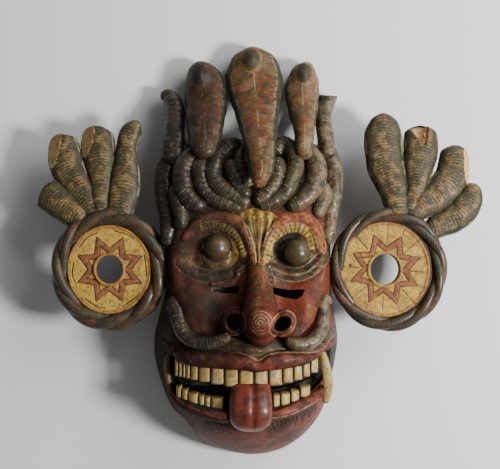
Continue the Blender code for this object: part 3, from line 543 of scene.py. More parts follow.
def face_paint_fields(x, y):
    """Signed distances, in millimetres, to the edges of each painted part of the face."""
    lash_left, along_left, _ = to_line(x, y, LASH_LEFT)
    lash_right, along_right, _ = to_line(x, y, LASH_RIGHT)
    brow_left = gap_to(x, y, BROW_LEFT)
    brow_right = gap_to(x, y, BROW_RIGHT)
    lid_left = gap_to(x, y, LID_LEFT)
    lid_right = gap_to(x, y, LID_RIGHT)
    socket = egg_reach(x, y, *SOCKET, *SOCKET_SIZE)
    iris = np.hypot(x - IRIS[0], y - IRIS[1]) - IRIS_RADIUS
    ball = np.hypot(x - EYEBALLS[0][0], y - EYEBALLS[0][1])
    hair = curve_at(x, HAIRLINE) - y
    band = np.maximum(y - curve_at(x, BAND_TOP), curve_at(x, LIP_TOP) - y)
    mouth = np.maximum(y - curve_at(x, LIP_LOW), curve_at(x, LOWER_TOP) - y)
    arch = gap_to(x, y, NOSE_ARCH)
    lid_end = np.clip((-60 - x) / 3, 0, 6)
    # Dark paint; in the right eye's socket, in a ring round the left eyeball's foot and, in part, under the
    # moustache it is painted shade.
    dark = np.minimum.reduce([hair, band, lid_left - 6.0 + lid_end, lid_right - 6.4, socket,
                              drawn(ball, 14.8, 1.8), arch - 2.8])
    brow = np.minimum(brow_left - 3.6 + np.clip((-48 - x) / 6, 0, 4), brow_right - 5.2)
    yellow = np.minimum.reduce([lash_left - 3.6, lash_right - 4.8, np.maximum(iris, 15.2 - ball),
                                fan_edge(x, y)])
    fan_marks = np.minimum.reduce([gap_to(x, y, stroke) - 0.8 for stroke in FAN_STROKES])
    beard_top = curve_at(x, BEARD_TOP)
    beard = np.maximum.reduce([strokes_on(x + 0.35 * y, 4.3, 2.9), y - beard_top,
                               beard_top - BEARD_LONG - 3 * np.sin(x * 0.9) - y, -54 - x, x - 58])
    beside_tongue = (x > 12) | (x < -34)
    beard = np.where(beside_tongue, beard, 9.0)
    stroke = np.minimum.reduce([
        np.maximum(strokes_on(along_left, 3.7, 1.4), lash_left - 3.8),
        np.maximum(strokes_on(along_right, 4.6, 1.2), drawn(lash_right, 1.2, 3.6)),
        # The mouth's sunk floor and the right eye's socket, all but its right edge, go black as painted
        # shade.
        np.maximum(fan_marks, fan_edge(x, y)), beard, mouth, np.maximum(socket + 1.0, x + 0.3 * y - 46),
        np.maximum(drawn(brow_left, 5.6, 0.4), -22 - x), np.abs(iris) - 0.5, drawn(lid_left, 3.2, 0.35),
        drawn(lid_right, 3.2, 0.35), np.abs(fan_edge(x, y)) - 0.4,
    ])
    from_tip = tip_reach(x, y)
    nostril_rings = [np.abs(egg_reach(x, y, *bore) - 3.6) - 0.5 for bore in NOSTRIL_BORES]
    lines = [gap_to(x, y, LIP_TOP) - 0.55, np.maximum(drawn(arch, 3.2, 0.4), y + 12)]
    lines += [drawn(from_tip, radius, 0.35) for radius in SPIRAL_RADII]
    lines.append(np.maximum(drawn(brow_right, 6.0, 0.5), -(y + 0.6 * np.abs(x - 34) - 16)))
    lines.append(np.maximum(drawn(brow_left, 3.9, 0.5), -62 - x))
    lines += [drawn(lid_left, 6.4, 0.4), drawn(lid_right, 6.6, 0.45), drawn(lid_right, 0.6, 0.3)]
    lines.append(np.maximum(drawn(brow_right, 2.0, 0.35), -12 - y))
    lines.append(np.maximum(drawn(brow_left, 1.2, 0.35), -56 - x))
    lines.append(np.maximum(np.abs(socket + 2.2) - 0.6, y + 0.5 * x + 1))
    lower_line = gap_to(x, y, LOWER_LINE) - 0.5
    lines.append(np.where(beside_tongue, lower_line, 9.0))
    line = np.minimum.reduce([*lines, *nostril_rings])
    upper_lip = np.maximum(y - curve_at(x, LIP_TOP), curve_at(x, LIP_LOW) - y)
    lower_lip = np.maximum(y - curve_at(x, LOWER_TOP), curve_at(x, LOWER_LINE) - y)
    lips = np.minimum.reduce([upper_lip, lower_lip, gap_to(x, y, CHEEK_ROLL) - 2.6])
    # Soot and painted shade: darker toward the viewer's left and round the left temple.
    soil = np.clip((9 - x) / 46, 0, 1) * np.clip((y + 190) / 50, 0, 1)
    soil = soil + 0.9 * np.exp(-((x + 62) / 14) ** 2 - ((y - 2) / 13) ** 2)
    worn = sum(np.exp(-((x - cx) / wide) ** 2 - ((y - cy) / tall) ** 2)
               for cx, cy, wide, tall in WORN_AND_HIGHLIT_PATCHES)
    return {"dark": dark, "brow": brow, "yellow": yellow, "stroke": stroke, "line": line, "lips": lips,
            "soil": soil, "worn": worn}


class Carving:
    """Patches of one carved piece, with the fields that its paint follows."""

    def __init__(self):
        self.points, self.faces, self.fields = [], [], []
        self.count = 0

    def add_grid(self, points, fields, wrap=True, caps=(False, False)):
        """Adds a grid of rows and columns of points, wrapped round its columns, shut at the ends."""
        rows, columns = points.shape[:2]
        a = np.arange(rows - 1)[:, None] * columns
        b = np.arange(columns if wrap else columns - 1)[None]
        after = (b + 1) % columns
        quads = np.stack([a + b, a + after, a + columns + after, a + columns + b], -1).reshape(-1, 4)
        self.faces += (quads + self.count).tolist()
        if caps[0]:
            self.faces.append((np.arange(columns)[::-1] + self.count).tolist())
        if caps[1]:
            self.faces.append((np.arange(columns) + self.count + (rows - 1) * columns).tolist())
        self.points.append(points.reshape(-1, 3))
        self.fields.append({key: np.broadcast_to(value, (rows, columns)).reshape(-1)
                            for key, value in fields.items()})
        self.count += rows * columns

    def build(self, name, paint, node="mask_face"):
        """Makes the piece, which rides on the one body and stands for its node."""
        mesh = bpy.data.meshes.new(name)
        mesh.from_pydata((np.vstack(self.points) * MM).tolist(), [], self.faces)
        for key in sorted({key for fields in self.fields for key in fields}):
            values = np.concatenate([fields.get(key, np.zeros(len(points)))
                                     for fields, points in zip(self.fields, self.points)])
            layer = mesh.attributes.new(key, "FLOAT", "POINT")
            layer.data.foreach_set("value", values.astype(np.float32))
        return dress(name, mesh, paint, node)


def add_object(name, data):
    """Puts data in the scene as an object."""
    thing = bpy.data.objects.new(name, data)
    bpy.context.scene.collection.objects.link(thing)
    return thing


def placed(points, place):
    """Points moved by a placing matrix."""
    flat = np.array(place)
    return points @ flat[:3, :3].T + flat[:3, 3]


def dress(name, mesh, paint, node):
    """Puts a finished mesh in the scene as a piece of the part."""
    mesh.validate()
    turned = bmesh.new()
    turned.from_mesh(mesh)
    bmesh.ops.recalc_face_normals(turned, faces=turned.faces)
    turned.to_mesh(mesh)
    turned.free()
    mesh.shade_smooth()
    mesh.materials.append(paint)
    piece = add_object(name, mesh)
    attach(piece, "root")
    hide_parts(node)
    return piece


def snake(carving, route, half_deep=None, step=1.1, sides=36, ridge=(0.0, 4.0), knife_marks=0.0, place=None,
          changes=()):
    """Adds a snake's body along points of x, y, z and half width, with scutes across its belly."""
    line = smooth_route(route, step)
    centre, wide = line[:, :3], line[:, 3]
    along = np.gradient(centre, axis=0)
    along /= np.linalg.norm(along, axis=1)[:, None]
    across = np.cross(along, UP)
    across /= np.linalg.norm(across, axis=1)[:, None]
    out = np.cross(across, along)
    travelled = travel(centre)
    cap = np.minimum(wide, half_deep or 99) * 0.9
    from_end = np.minimum(travelled, travelled[-1] - travelled)
    taper = np.sqrt(np.clip(1 - (1 - np.clip(from_end / cap, 0.004, 1)) ** 2, 0, 1))
    deep = np.minimum(wide, half_deep) if half_deep else wide
    turn = circle(sides)[None]
    lateral, front = np.cos(turn), np.sin(turn)
    tall, pitch = ridge
    scute = tall * (np.abs(np.sin(math.pi * travelled / pitch)) - 0.6)[:, None] * np.clip(front * 2, 0, 1)
    lump = knife_marks * taper[:, None] * (np.sin(travelled[:, None] / 5.3 + 2 * lateral)
                                           + np.sin(travelled[:, None] / 3.1 - 3 * turn))
    spread = (wide * taper)[:, None] * lateral + (scute + lump) * lateral
    lift = (deep * taper)[:, None] * front + (scute * taper[:, None] + lump) * front
    points = centre[:, None] + across[:, None] * spread[..., None] + out[:, None] * lift[..., None]
    fields = {"along": travelled[:, None], "lateral": lateral * wide[:, None], "half": wide[:, None],
              "front": front, "snout": 0.0, "raw": 0.0}
    for change in changes:
        points, fields = change(points, fields)
    if place is not None:
        points = placed(points, place)
    carving.add_grid(points, fields, caps=(True, True))


def snouted(x, y, wide, tall, rise):
    """A change that swells a snout out of the front of a hood."""
    def change(points, fields):
        near = np.exp(-((points[..., 0] - x) / wide) ** 2 - ((points[..., 1] - y) / tall) ** 2)
        lift = rise * near * np.clip(fields["front"] * 2, 0, 1)
        return points + lift[..., None] * UP, {**fields, "snout": near}
    return change


def stained(points, fields):
    """A change that gives a tusk the brown of a tooth's root, deeper toward the viewer's left."""
    return points, {**fields, "root": np.where(points[..., 0] < 0, 1.1, 0.66)}


def soot_dust_and_painted_light(points, fields):
    """A change that darkens toward the viewer's left with soot and painted shade, and lightens toward the
    right with dust and painted light.
    """
    return points, {**fields, "soil": np.clip((-18 - points[..., 0]) / 30, 0, 1),
                    "dusty": np.clip((points[..., 0] - 20) / 40, 0, 1)}


def notched(apex, left, right, deep):
    """A change that splits a wedge of raw wood out of a tip, between two ways from its apex."""
    def change(points, fields):
        x, y = points[..., 0] - apex[0], points[..., 1] - apex[1]
        past_right = (right[0] * y - right[1] * x) / math.hypot(*right)
        past_left = (left[1] * x - left[0] * y) / math.hypot(*left)
        within = np.minimum(past_right, past_left) * (fields["front"] > -0.3)
        sunk = deep * np.clip(within / 0.9, 0, 1)
        bare = np.clip(within * 1.5 + 0.2, 0, 1) * (within > 0)
        return points - sunk[..., None] * UP, {**fields, "raw": bare}
    return change


def snapped(point, way):
    """A change that breaks a corner off a body along a plane, and leaves raw wood there."""
    way = np.array(way) / np.linalg.norm(way)

    def change(points, fields):
        past = (points - np.array(point)) @ way
        splinter = 0.35 * np.sin(points[..., 0] * 2.4 + points[..., 1] * 0.5)
        cut = np.clip(past + splinter, 0, None)
        return points - cut[..., None] * way, {**fields, "raw": np.clip(past * 2 + 0.5, 0, 1)}
    return change


class Value:
    """A shader's number: arithmetic on it adds Math nodes."""

    def __init__(self, paint, socket):
        self.paint, self.socket = paint, socket

    def math(self, operation, *values):
        """Adds one Math node."""
        return self.paint.node("ShaderNodeMath", {"operation": operation}, dict(enumerate(values)))

    def __add__(self, other):
        return self.math("ADD", self, other)

    __radd__ = __add__

    def __sub__(self, other):
        return self.math("SUBTRACT", self, other)

    def __rsub__(self, other):
        return self.math("SUBTRACT", other, self)

    def __mul__(self, other):
        return self.math("MULTIPLY", self, other)

    __rmul__ = __mul__

    def __truediv__(self, other):
        return self.math("DIVIDE", self, other)

    def __rtruediv__(self, other):
        return self.math("DIVIDE", other, self)

    def fraction(self):
        """What is left over a whole number."""
        return self.math("FRACT", self)

    def size(self):
        """The value without its sign."""
        return self.math("ABSOLUTE", self)

    def whole(self):
        """The whole number below."""
        return self.math("FLOOR", self)

    def least(self, other):
        """The lower of two values."""
        return self.math("MINIMUM", self, other)

    def most(self, other):
        """The higher of two values."""
        return self.math("MAXIMUM", self, other)

    def step(self, low, high):
        """Goes from 0 at low to 1 at high; the edges may be either way round."""
        return self.paint.node("ShaderNodeMapRange", {"interpolation_type": "SMOOTHSTEP"},
                               {"Value": self, "From Min": low, "From Max": high})


EVEN = (1, 1, 1)


class Paint:
    """The nodes of one finish."""

    def __init__(self, name):
        self.material = bpy.data.materials.new(name)
        self.material.use_nodes = True
        self.tree = self.material.node_tree
        self.shader = self.tree.nodes["Principled BSDF"]

    def node(self, kind, settings=None, inputs=None, out=0):
        """Adds a node: its settings first, then values or links on its sockets."""
        made = self.tree.nodes.new(kind)
        for key, value in (settings or {}).items():
            setattr(made, key, value)
        for key, value in (inputs or {}).items():
            self.feed(made.inputs[key], value)
        return Value(self, made.outputs[out])

    def feed(self, socket, value):
        """Links a value to a socket, or sets it."""
        if isinstance(value, Value):
            self.tree.links.new(value.socket, socket)
        elif socket.type == "RGBA":
            socket.default_value = (*value, 1)[:4]
        else:
            socket.default_value = value

    def mix(self, under, over, mask):
        """Lays one colour over another."""
        return self.node("ShaderNodeMix", {"data_type": "RGBA"}, {0: mask, 6: under, 7: over}, out=2)

    def blotched(self, colour, *layers):
        """Lays colours on in turn, each where a noise of its own rises from low to high."""
        for over, grain, low, high, strength in layers:
            colour = self.mix(colour, over, self.noise(*grain).step(low, high) * strength)
        return colour

    def field(self, name):
        """A number that the carving left on each point."""
        return self.node("ShaderNodeAttribute", {"attribute_name": name}, out=2)

    def place(self):
        """Where a point lies on its piece."""
        return self.node("ShaderNodeTexCoord", out=3)

    def noise(self, size, detail=3.0, stretch=EVEN, rough=0.55):
        """Noise whose grains are about the given size in millimetres."""
        spot = self.node("ShaderNodeVectorMath", {"operation": "MULTIPLY"},
                         {0: self.place(), 1: tuple(s / (size * MM) for s in stretch)})
        return self.node("ShaderNodeTexNoise", None, {"Vector": spot, "Scale": 1.0, "Detail": detail,
                                                      "Roughness": rough})

    def scratches(self, size, keep):
        """Small flecks where a rough noise passes a limit."""
        return self.noise(size, 4, EVEN, 0.7).step(keep, keep + 0.03)

    def cavity(self):
        """From 0 in the grooves to 1 on the edges."""
        return self.node("ShaderNodeNewGeometry", out="Pointiness")

    def finish(self, colour, rough, bump=None, bump_deep=0.4, coat=0.14, coat_rough=0.2, shine=0.22):
        """Feeds the shader, with aged lacquer over the paint."""
        self.feed(self.shader.inputs["Base Color"], colour)
        self.feed(self.shader.inputs["Roughness"], rough)
        self.shader.inputs["Specular IOR Level"].default_value = shine
        self.shader.inputs["Coat Weight"].default_value = coat
        self.shader.inputs["Coat Roughness"].default_value = coat_rough
        if bump is not None:
            normal = self.node("ShaderNodeBump", None,
                               {"Strength": bump_deep, "Distance": MM, "Height": bump})
            self.feed(self.shader.inputs["Normal"], normal)
        return self.material


DEEP_RED = (0.050, 0.013, 0.009)
WARM_RED = (0.146, 0.027, 0.013)
LIP_RED = (0.155, 0.032, 0.018)
BLACK = (0.008, 0.008, 0.007)
SLATE = (0.028, 0.025, 0.017)
MOSS = (0.040, 0.042, 0.020)
EARTH = (0.066, 0.036, 0.017)
RUST = (0.135, 0.046, 0.020)
ORANGE = (0.25, 0.085, 0.024)
OCHRE = (0.215, 0.125, 0.036)
YELLOW = (0.46, 0.295, 0.046)
PALE = (0.44, 0.37, 0.22)
PINK = (0.36, 0.16, 0.10)
TOOTH_PALE = (0.36, 0.285, 0.145)
TOOTH_GOLD = (0.40, 0.26, 0.060)
GRIME = (0.020, 0.014, 0.009)
DUST_AND_LIGHT = (0.23, 0.155, 0.088)
TAN = (0.205, 0.138, 0.050)
SOOT_AND_SHADE = (0.012, 0.010, 0.008)
STAR_RED = (0.21, 0.056, 0.034)
RAW_WOOD = (0.58, 0.36, 0.165)
OLD_WOOD = (0.17, 0.100, 0.048)


def aged(paint, colour, grime=0.75, chips=0.66, smudge=0.5, dusting=0.2):
    """Dirt in the grooves, chips down to the wood, and a patchy gloss."""
    edge = paint.cavity()
    grooves = edge.step(0.5, 0.44) * grime
    colour = paint.mix(colour, GRIME, grooves)
    patches = paint.noise(26, 4)
    colour = paint.mix(colour, GRIME, patches.step(0.52, 0.8) * 0.45)
    worn = edge.step(0.53, 0.6) * paint.noise(5, 4).step(0.45, 0.62)
    colour = paint.mix(colour, OLD_WOOD, worn * 0.55)
    smudges = paint.noise(3.6, 5, rough=0.7)
    colour = paint.mix(colour, GRIME, smudges.step(0.50, 0.70) * smudge)
    dust = paint.noise(7, 5, (1, 0.6, 1), 0.7)
    colour = paint.mix(colour, DUST_AND_LIGHT, dust.step(0.54, 0.70) * dusting)
    flecks = paint.scratches(3.2, chips)
    colour = paint.mix(colour, PALE, flecks * 0.4)
    rough = 0.30 + patches * 0.22 + smudges * 0.16 + grooves * 0.15 + flecks * 0.2
    bump = smudges * 0.9 + paint.noise(9, 3) * 1.1
    return colour, rough, bump


def face_paint():
    """The face: red lacquer with its bands, lines and strokes, darker on one side with soot and painted
    shade.
    """
    paint = Paint("face_lacquer")
    wobble = (paint.noise(6, 3) - 0.5) * 1.4
    colour = paint.blotched(DEEP_RED, (WARM_RED, (42, 3), 0.36, 0.56, 1), (RUST, (11, 5), 0.52, 0.72, 0.5),
                            (EARTH, (17, 4), 0.48, 0.66, 0.6),
                            (GRIME, (13, 5, (1, 0.5, 1)), 0.52, 0.66, 0.5))

    def lay(colour, field, over, soft=0.5, strength=1.0):
        """Fills a painted part, with a wandering edge."""
        mask = (paint.field(field) + wobble * 0.5).step(soft, -soft)
        return paint.mix(colour, over, mask * strength)

    colour = lay(colour, "lips", paint.blotched(LIP_RED, (DEEP_RED, (12,), 0.42, 0.62, 1)))
    slate = paint.blotched(SLATE, (EARTH, (7, 4, (0.5, 1.6, 1)), 0.44, 0.56, 1),
                           (OCHRE, (5, 4, (0.5, 2, 1)), 0.53, 0.64, 0.5))
    # Dark paint, with painted shade in the right eye's socket, round the left eyeball's foot and partly under
    # the moustache.
    colour = lay(colour, "dark", slate)
    colour = lay(colour, "brow", paint.blotched(ORANGE, (WARM_RED, (5,), 0.40, 0.56, 1)))
    colour = lay(colour, "yellow", paint.blotched(YELLOW, (OCHRE, (4.5, 4), 0.36, 0.58, 1)))
    # Black strokes, with painted shade in the mouth's sunk floor and the right eye's socket.
    colour = lay(colour, "stroke", BLACK, 0.35, 0.9)
    colour = lay(colour, "line", paint.blotched(PALE, (PINK, (14,), 0.4, 0.6, 1)), 0.4, 0.68)
    # Soot and painted shade over the viewer's left, which is also rougher there.
    soil = (paint.field("soil") * paint.noise(30, 3).step(0.05, 0.55)).least(1)
    colour = paint.mix(colour, SOOT_AND_SHADE, soil * 0.78)
    # Ochre wear patches; the one on the nose ridge is also a painted highlight.
    worn = paint.field("worn") * paint.noise(5, 5, (1, 0.5, 1), 0.7).step(0.40, 0.60)
    colour = paint.mix(colour, OCHRE, worn * 0.55)
    colour, rough, bump = aged(paint, colour, smudge=0.85, dusting=0.14)
    wood = paint.blotched(OLD_WOOD, (EARTH, (8, 4, (1, 0.12, 1)), 0.35, 0.7, 1))
    behind = paint.field("behind")
    colour = paint.mix(colour, wood, behind)
    return paint.finish(colour, rough + behind * 0.35 + soil * 0.22, bump, 0.75, 0.05, shine=0.13)


def snake_tone(paint, edges):
    """What every painted snake starts from: its fields, a wandering edge and the dark of its flanks."""
    wander = (paint.noise(7, 3) - 0.5) * 3
    dark = paint.mix(edges[0], edges[1], paint.noise(10, 4).step(0.4, 0.62))
    return paint.field("along"), paint.field("lateral"), paint.field("half"), wander, dark


def hair_paint():
    """Dark glossy snakes with rings of pale dots."""
    paint = Paint("hair_snake_paint")
    along, lateral, _, wander, colour = snake_tone(paint, (SLATE, EARTH))
    colour = paint.blotched(colour, (MOSS, (13, 3), 0.45, 0.6, 0.85),
                            (OCHRE, (6, 5, EVEN, 0.7), 0.54, 0.68, 0.35),
                            (RUST, (19, 3), 0.60, 0.72, 0.35))
    row = ((along + wander * 0.5) / 6.2).fraction() - 0.5
    bead = (lateral / 2.5).fraction() - 0.5
    groove = row.size().step(0.12, 0.03)
    colour = paint.mix(colour, GRIME, groove * 0.5)
    spread = row * row * 38.0 + bead * bead * 6.3
    dots = spread.step(0.8, 0.2) * paint.noise(8, 4).step(0.46, 0.60) * paint.noise(2.2, 3).step(0.38, 0.54)
    colour = paint.mix(colour, PALE, dots * 0.95)
    # Soot and painted shade toward the viewer's left.
    colour = paint.mix(colour, SOOT_AND_SHADE, paint.field("soil") * paint.noise(20, 3).step(0.25, 0.5) * 0.75)
    # Dust and painted light toward the viewer's right.
    dusty = paint.field("dusty")
    colour = paint.mix(colour, DUST_AND_LIGHT, dusty * dusty * paint.noise(9, 4).step(0.38, 0.6) * 0.62)
    colour, rough, bump = aged(paint, colour, 0.7)
    return paint.finish(colour, rough * 0.8, bump - groove * 0.6, 0.7, 0.25)


def crown_paint():
    """Orange-brown bellies with fine scutes and a pale middle line; dark flanks and snouts."""
    paint = Paint("crown_paint")
    along, lateral, half, wander, dark = snake_tone(paint, (SLATE, MOSS))
    front, snout = paint.field("front"), paint.field("snout")
    flank = ((lateral + wander * 0.6).size() / half).most(0.80 - front * 0.45)
    belly = paint.blotched(RUST, (EARTH, (15, 4), 0.42, 0.58, 1),
                           (ORANGE, (7, 4, (1, 2.4, 1)), 0.50, 0.66, 0.5),
                           (MOSS, (15, 4), 0.50, 0.62, 0.6), (DUST_AND_LIGHT, (24, 4), 0.52, 0.66, 0.5))
    row = ((along + lateral * lateral / half * 0.25 + wander * 0.3) / 3.4).fraction() - 0.5
    scute = row.size().step(0.15, 0.03) * paint.noise(5, 3, (1, 2, 1)).step(0.38, 0.56)
    belly = paint.mix(belly, GRIME, scute * 0.55)
    light = (row.size() - 0.36).size().step(0.12, 0.02) * paint.noise(5, 3, (1, 2.5, 1)).step(0.48, 0.62)
    belly = paint.mix(belly, OCHRE, light * 0.6)
    belly = paint.blotched(belly, (OCHRE, (21, 4), 0.54, 0.66, 0.35))
    spine = (lateral + wander * 0.12).size().step(0.9, 0.3) * paint.noise(16, 2).step(0.42, 0.55)
    belly = paint.mix(belly, PALE, spine * 0.4)
    colour = paint.mix(dark, belly, flank.step(0.84, 0.72))
    rim = (flank - 0.80).size().step(0.05, 0.015) * ((along / 2.0).fraction() - 0.5).size().step(0.3, 0.2)
    colour = paint.mix(colour, PALE, rim * paint.noise(6, 3).step(0.42, 0.56) * 0.6)
    # Dust and painted light toward the viewer's right.
    colour = paint.mix(colour, DUST_AND_LIGHT, paint.field("dusty") * paint.noise(12, 4).step(0.3, 0.6) * 0.6)
    nose = (snout + wander * 0.16).step(0.36, 0.56)
    collar = ((snout + wander * 0.12) - 0.30).size().step(0.12, 0.04)
    colour = paint.mix(colour, OCHRE, collar * paint.noise(4, 3).step(0.40, 0.56) * 0.7)
    colour = paint.mix(colour, dark, nose * 0.92)
    # Soot and painted shade toward the viewer's left.
    colour = paint.mix(colour, SOOT_AND_SHADE, paint.field("soil") * 0.75)
    colour, rough, bump = aged(paint, colour, 0.6)
    return paint.finish(colour, rough, bump - scute * 0.5, 0.5, 0.12, shine=0.14)


def cobra_paint():
    """Tan bellies with rows of dark dashes, dark flanks, and raw wood where a tip is broken."""
    paint = Paint("ear_cobra_paint")
    along, lateral, half, wander, dark = snake_tone(paint, (SLATE, MOSS))
    front, raw = paint.field("front"), paint.field("raw")
    flank = ((lateral + wander * 0.7).size() / half).most(0.84 - front * 0.45)
    belly = paint.blotched(EARTH, (TAN, (9, 5), 0.40, 0.60, 0.85), (MOSS, (12, 4), 0.43, 0.57, 0.85),
                           (RUST, (19, 3), 0.58, 0.7, 0.5))
    rows = (along + lateral * lateral / half * 0.3 + wander * 0.35) / 3.2
    row = rows.fraction() - 0.5
    dash = ((lateral / 5.4 + rows.whole() * 0.37).fraction() - 0.5).size().step(0.46, 0.34)
    centred = (lateral.size() / half).step(0.75, 0.3)
    scute = row.size().step(0.22, 0.08) * dash * paint.noise(5, 3).step(0.34, 0.50) * centred
    belly = paint.mix(belly, GRIME, scute * 0.7)
    glint = (row.size() - 0.4).size().step(0.1, 0.03) * paint.noise(4, 3, (1, 2, 1)).step(0.5, 0.62)
    belly = paint.mix(belly, PALE, glint * 0.35)
    colour = paint.mix(dark, belly, flank.step(0.82, 0.50))
    edge = (flank - 0.93).size().step(0.05, 0.02) * paint.noise(14, 3).step(0.46, 0.56)
    colour = paint.mix(colour, PALE, edge * 0.45)
    colour, rough, bump = aged(paint, colour, 0.6)
    grain = paint.noise(2.2, 4, (2.4, 0.25, 1))
    wood = paint.mix(RAW_WOOD, OLD_WOOD, grain.step(0.50, 0.66) * 0.8)
    colour = paint.mix(colour, wood, raw.step(0.35, 0.6))
    return paint.finish(colour, rough + raw * 0.3 + 0.06, bump - scute * 0.4 + grain * raw * 1.5, 0.5, 0.04)


def tooth_paint():
    """Ivory yellow, brown at the root and in chips."""
    paint = Paint("tooth_yellow")
    colour = paint.blotched(TOOTH_PALE, (TOOTH_GOLD, (8, 3), 0.40, 0.60, 1),
                            (OCHRE, (4, 4), 0.50, 0.66, 0.7))
    root = paint.field("root")
    colour = paint.mix(colour, EARTH, (root + (paint.noise(3) - 0.5) * 0.5).step(0.62, 1.0) * 0.8)
    colour, rough, bump = aged(paint, colour, 0.85, 0.7)
    return paint.finish(colour, rough, bump, 0.3)


def tongue_paint():
    """Dark red lacquer, glossy, blacker in its groove."""
    paint = Paint("tongue_lacquer")
    colour = paint.blotched(LIP_RED, (DEEP_RED, (16, 4), 0.38, 0.62, 1))
    colour, rough, bump = aged(paint, colour, 0.7, 0.72)
    return paint.finish(colour, rough * 0.75, bump, 0.3, 0.3, 0.22)


def eye_paint():
    """Grey-green eyeballs under thick gloss, with a pale worn foot and a black ring of painted shade where
    the ball meets it.
    """
    paint = Paint("eye_gloss")
    colour = paint.blotched(MOSS, (EARTH, (9, 3), 0.42, 0.60, 1), (OCHRE, (7, 4), 0.54, 0.66, 0.3))
    foot = paint.field("foot")
    # Painted shade: a black ring in the crease where the ball meets its collar.
    colour = paint.mix(colour, BLACK, foot.step(0.5, 0.62) * foot.step(0.86, 0.8))
    colour = paint.mix(colour, PALE, foot.step(0.84, 0.9) * 0.7)
    colour, rough, bump = aged(paint, colour, 0.2, 0.74)
    return paint.finish(colour, rough * 0.7, bump, 0.15, 0.5, 0.28)


def roundel_paint():
    """A yellow roundel with its star, rims and radial cuts, in a dark board."""
    paint = Paint("roundel_paint")
    wobble = (paint.noise(5, 3) - 0.5) * 1.4
    gold = paint.blotched(YELLOW, (OCHRE, (16, 4), 0.46, 0.66, 0.7),
                          (ORANGE, (6, 5, EVEN, 0.75), 0.50, 0.60, 0.45),
                          (PALE, (7, 4), 0.56, 0.68, 0.25), (MOSS, (4, 5, EVEN, 0.75), 0.55, 0.63, 0.45),
                          (EARTH, (1.8, 4), 0.60, 0.70, 0.7),
                          (EARTH, (3.2, 4, (1, 0.3, 1)), 0.60, 0.68, 0.5))
    rim = (paint.field("rim") + wobble).step(0.6, -0.6)
    colour = paint.mix(gold, paint.blotched(ORANGE, (WARM_RED, (6,), 0.5, 0.66, 1)), rim * 0.6)
    star = (paint.field("star") + wobble * 0.8).step(0.5, -0.5) * paint.noise(5, 4).step(0.24, 0.42)
    colour = paint.mix(colour, paint.blotched(STAR_RED, (RUST, (6, 4), 0.42, 0.58, 1)), star * 0.9)
    cut = (paint.field("cut") + wobble * 0.25).step(0.4, -0.2)
    colour = paint.mix(colour, GRIME, cut * paint.noise(6, 3).step(0.3, 0.5) * 0.85)
    board = (paint.field("board") + wobble * 0.4).step(-0.4, 0.4)
    dark = paint.blotched(SLATE, (EARTH, (14, 4), 0.42, 0.6, 1))
    colour = paint.mix(colour, dark, board)
    colour, rough, bump = aged(paint, colour, 0.6, 0.7)
    return paint.finish(colour, rough + 0.15, bump, 0.4, 0.04)


def rope_paint():
    """Twisted snakes round a board: brown-black with red-brown streaks along them."""
    paint = Paint("rope_paint")
    along, turn = paint.field("along"), paint.field("lateral")
    colour = paint.blotched(SLATE, (EARTH, (16, 4), 0.44, 0.62, 1), (MOSS, (21, 3), 0.48, 0.62, 0.7))
    streak = (turn + (paint.noise(12, 3) - 0.5) * 5).step(1.5, 4.0) * paint.noise(22, 3).step(0.42, 0.56)
    colour = paint.mix(colour, paint.blotched(RUST, (EARTH, (7,), 0.4, 0.6, 1)), streak * 0.7)
    row = ((along + turn * 0.8) / 3.0).fraction() - 0.5
    scale = row.size().step(0.16, 0.04) * paint.noise(6, 3).step(0.4, 0.55)
    colour = paint.mix(colour, GRIME, scale * 0.6)
    colour, rough, bump = aged(paint, colour, 0.7)
    return paint.finish(colour, rough * 0.95, bump - scale * 0.5, 0.6, 0.26)


def make_face(outline):
    """The carved face, its flat rim and the hollow behind it, pierced for sight, breath and mouth."""
    shares = np.concatenate([np.linspace(0.004, COARSE_SHARE, COARSE_RINGS, endpoint=False),
                             np.linspace(COARSE_SHARE, 1, HEAD_RINGS - COARSE_RINGS)])[:, None]
    spread = outline - HEAD_CENTRE
    x = HEAD_CENTRE[0] + shares * spread[None, :, 0]
    y = HEAD_CENTRE[1] + shares * spread[None, :, 1]
    share = np.broadcast_to(shares, x.shape)
    z = np.where(share < 1, np.maximum(face_height(x, y, share), 0.4), 0.0)
    fields = face_paint_fields(x, y)
    carving = Carving()
    reach = np.linalg.norm(spread, axis=1)
    inner = 1 - WALL / reach
    back_shares = np.concatenate([[1.0], np.linspace(0.985, 0.02, HOLLOW_RINGS)])[:, None] * inner[None]
    bx = HEAD_CENTRE[0] + back_shares * spread[None, :, 0]
    by = HEAD_CENTRE[1] + back_shares * spread[None, :, 1]
    within = back_shares / inner[None]
    bz = np.maximum(dome(within, by) - WALL + 0.55 * np.clip(relief(bx, by), 0, None) * (1 - within ** 2), 0)
    bz[0] = 0
    seated = (z > SEAT_LOW) & (np.abs(y - EAR_Y) < SEAT_TALL / 2)
    x = np.where(seated, np.clip(x, MID_X - SEAT_HALF, MID_X + SEAT_HALF), x)
    points = np.concatenate([np.stack([x, y, z], -1), np.stack([bx, by, bz], -1)])
    back = np.concatenate([np.zeros(x.shape), np.ones(bx.shape)])
    fields = {key: np.concatenate([value, np.full(bx.shape, 9.0)]) for key, value in fields.items()}
    carving.add_grid(points, {**fields, "behind": back}, caps=(True, True))
    piece = carving.build("carved_face", face_paint())
    pierce(piece)
    return piece


def prism(outline):
    """A tall cutter with the given outline."""
    block = bmesh.new()
    rows = [[block.verts.new((x * MM, y * MM, z * MM)) for x, y in outline] for z in (CUT_FOOT, CUT_TOP)]
    for a in range(len(outline)):
        b = (a + 1) % len(outline)
        block.faces.new((rows[0][a], rows[0][b], rows[1][b], rows[1][a]))
    block.faces.new(rows[0])
    block.faces.new(rows[1])
    bmesh.ops.recalc_face_normals(block, faces=block.faces)
    return block


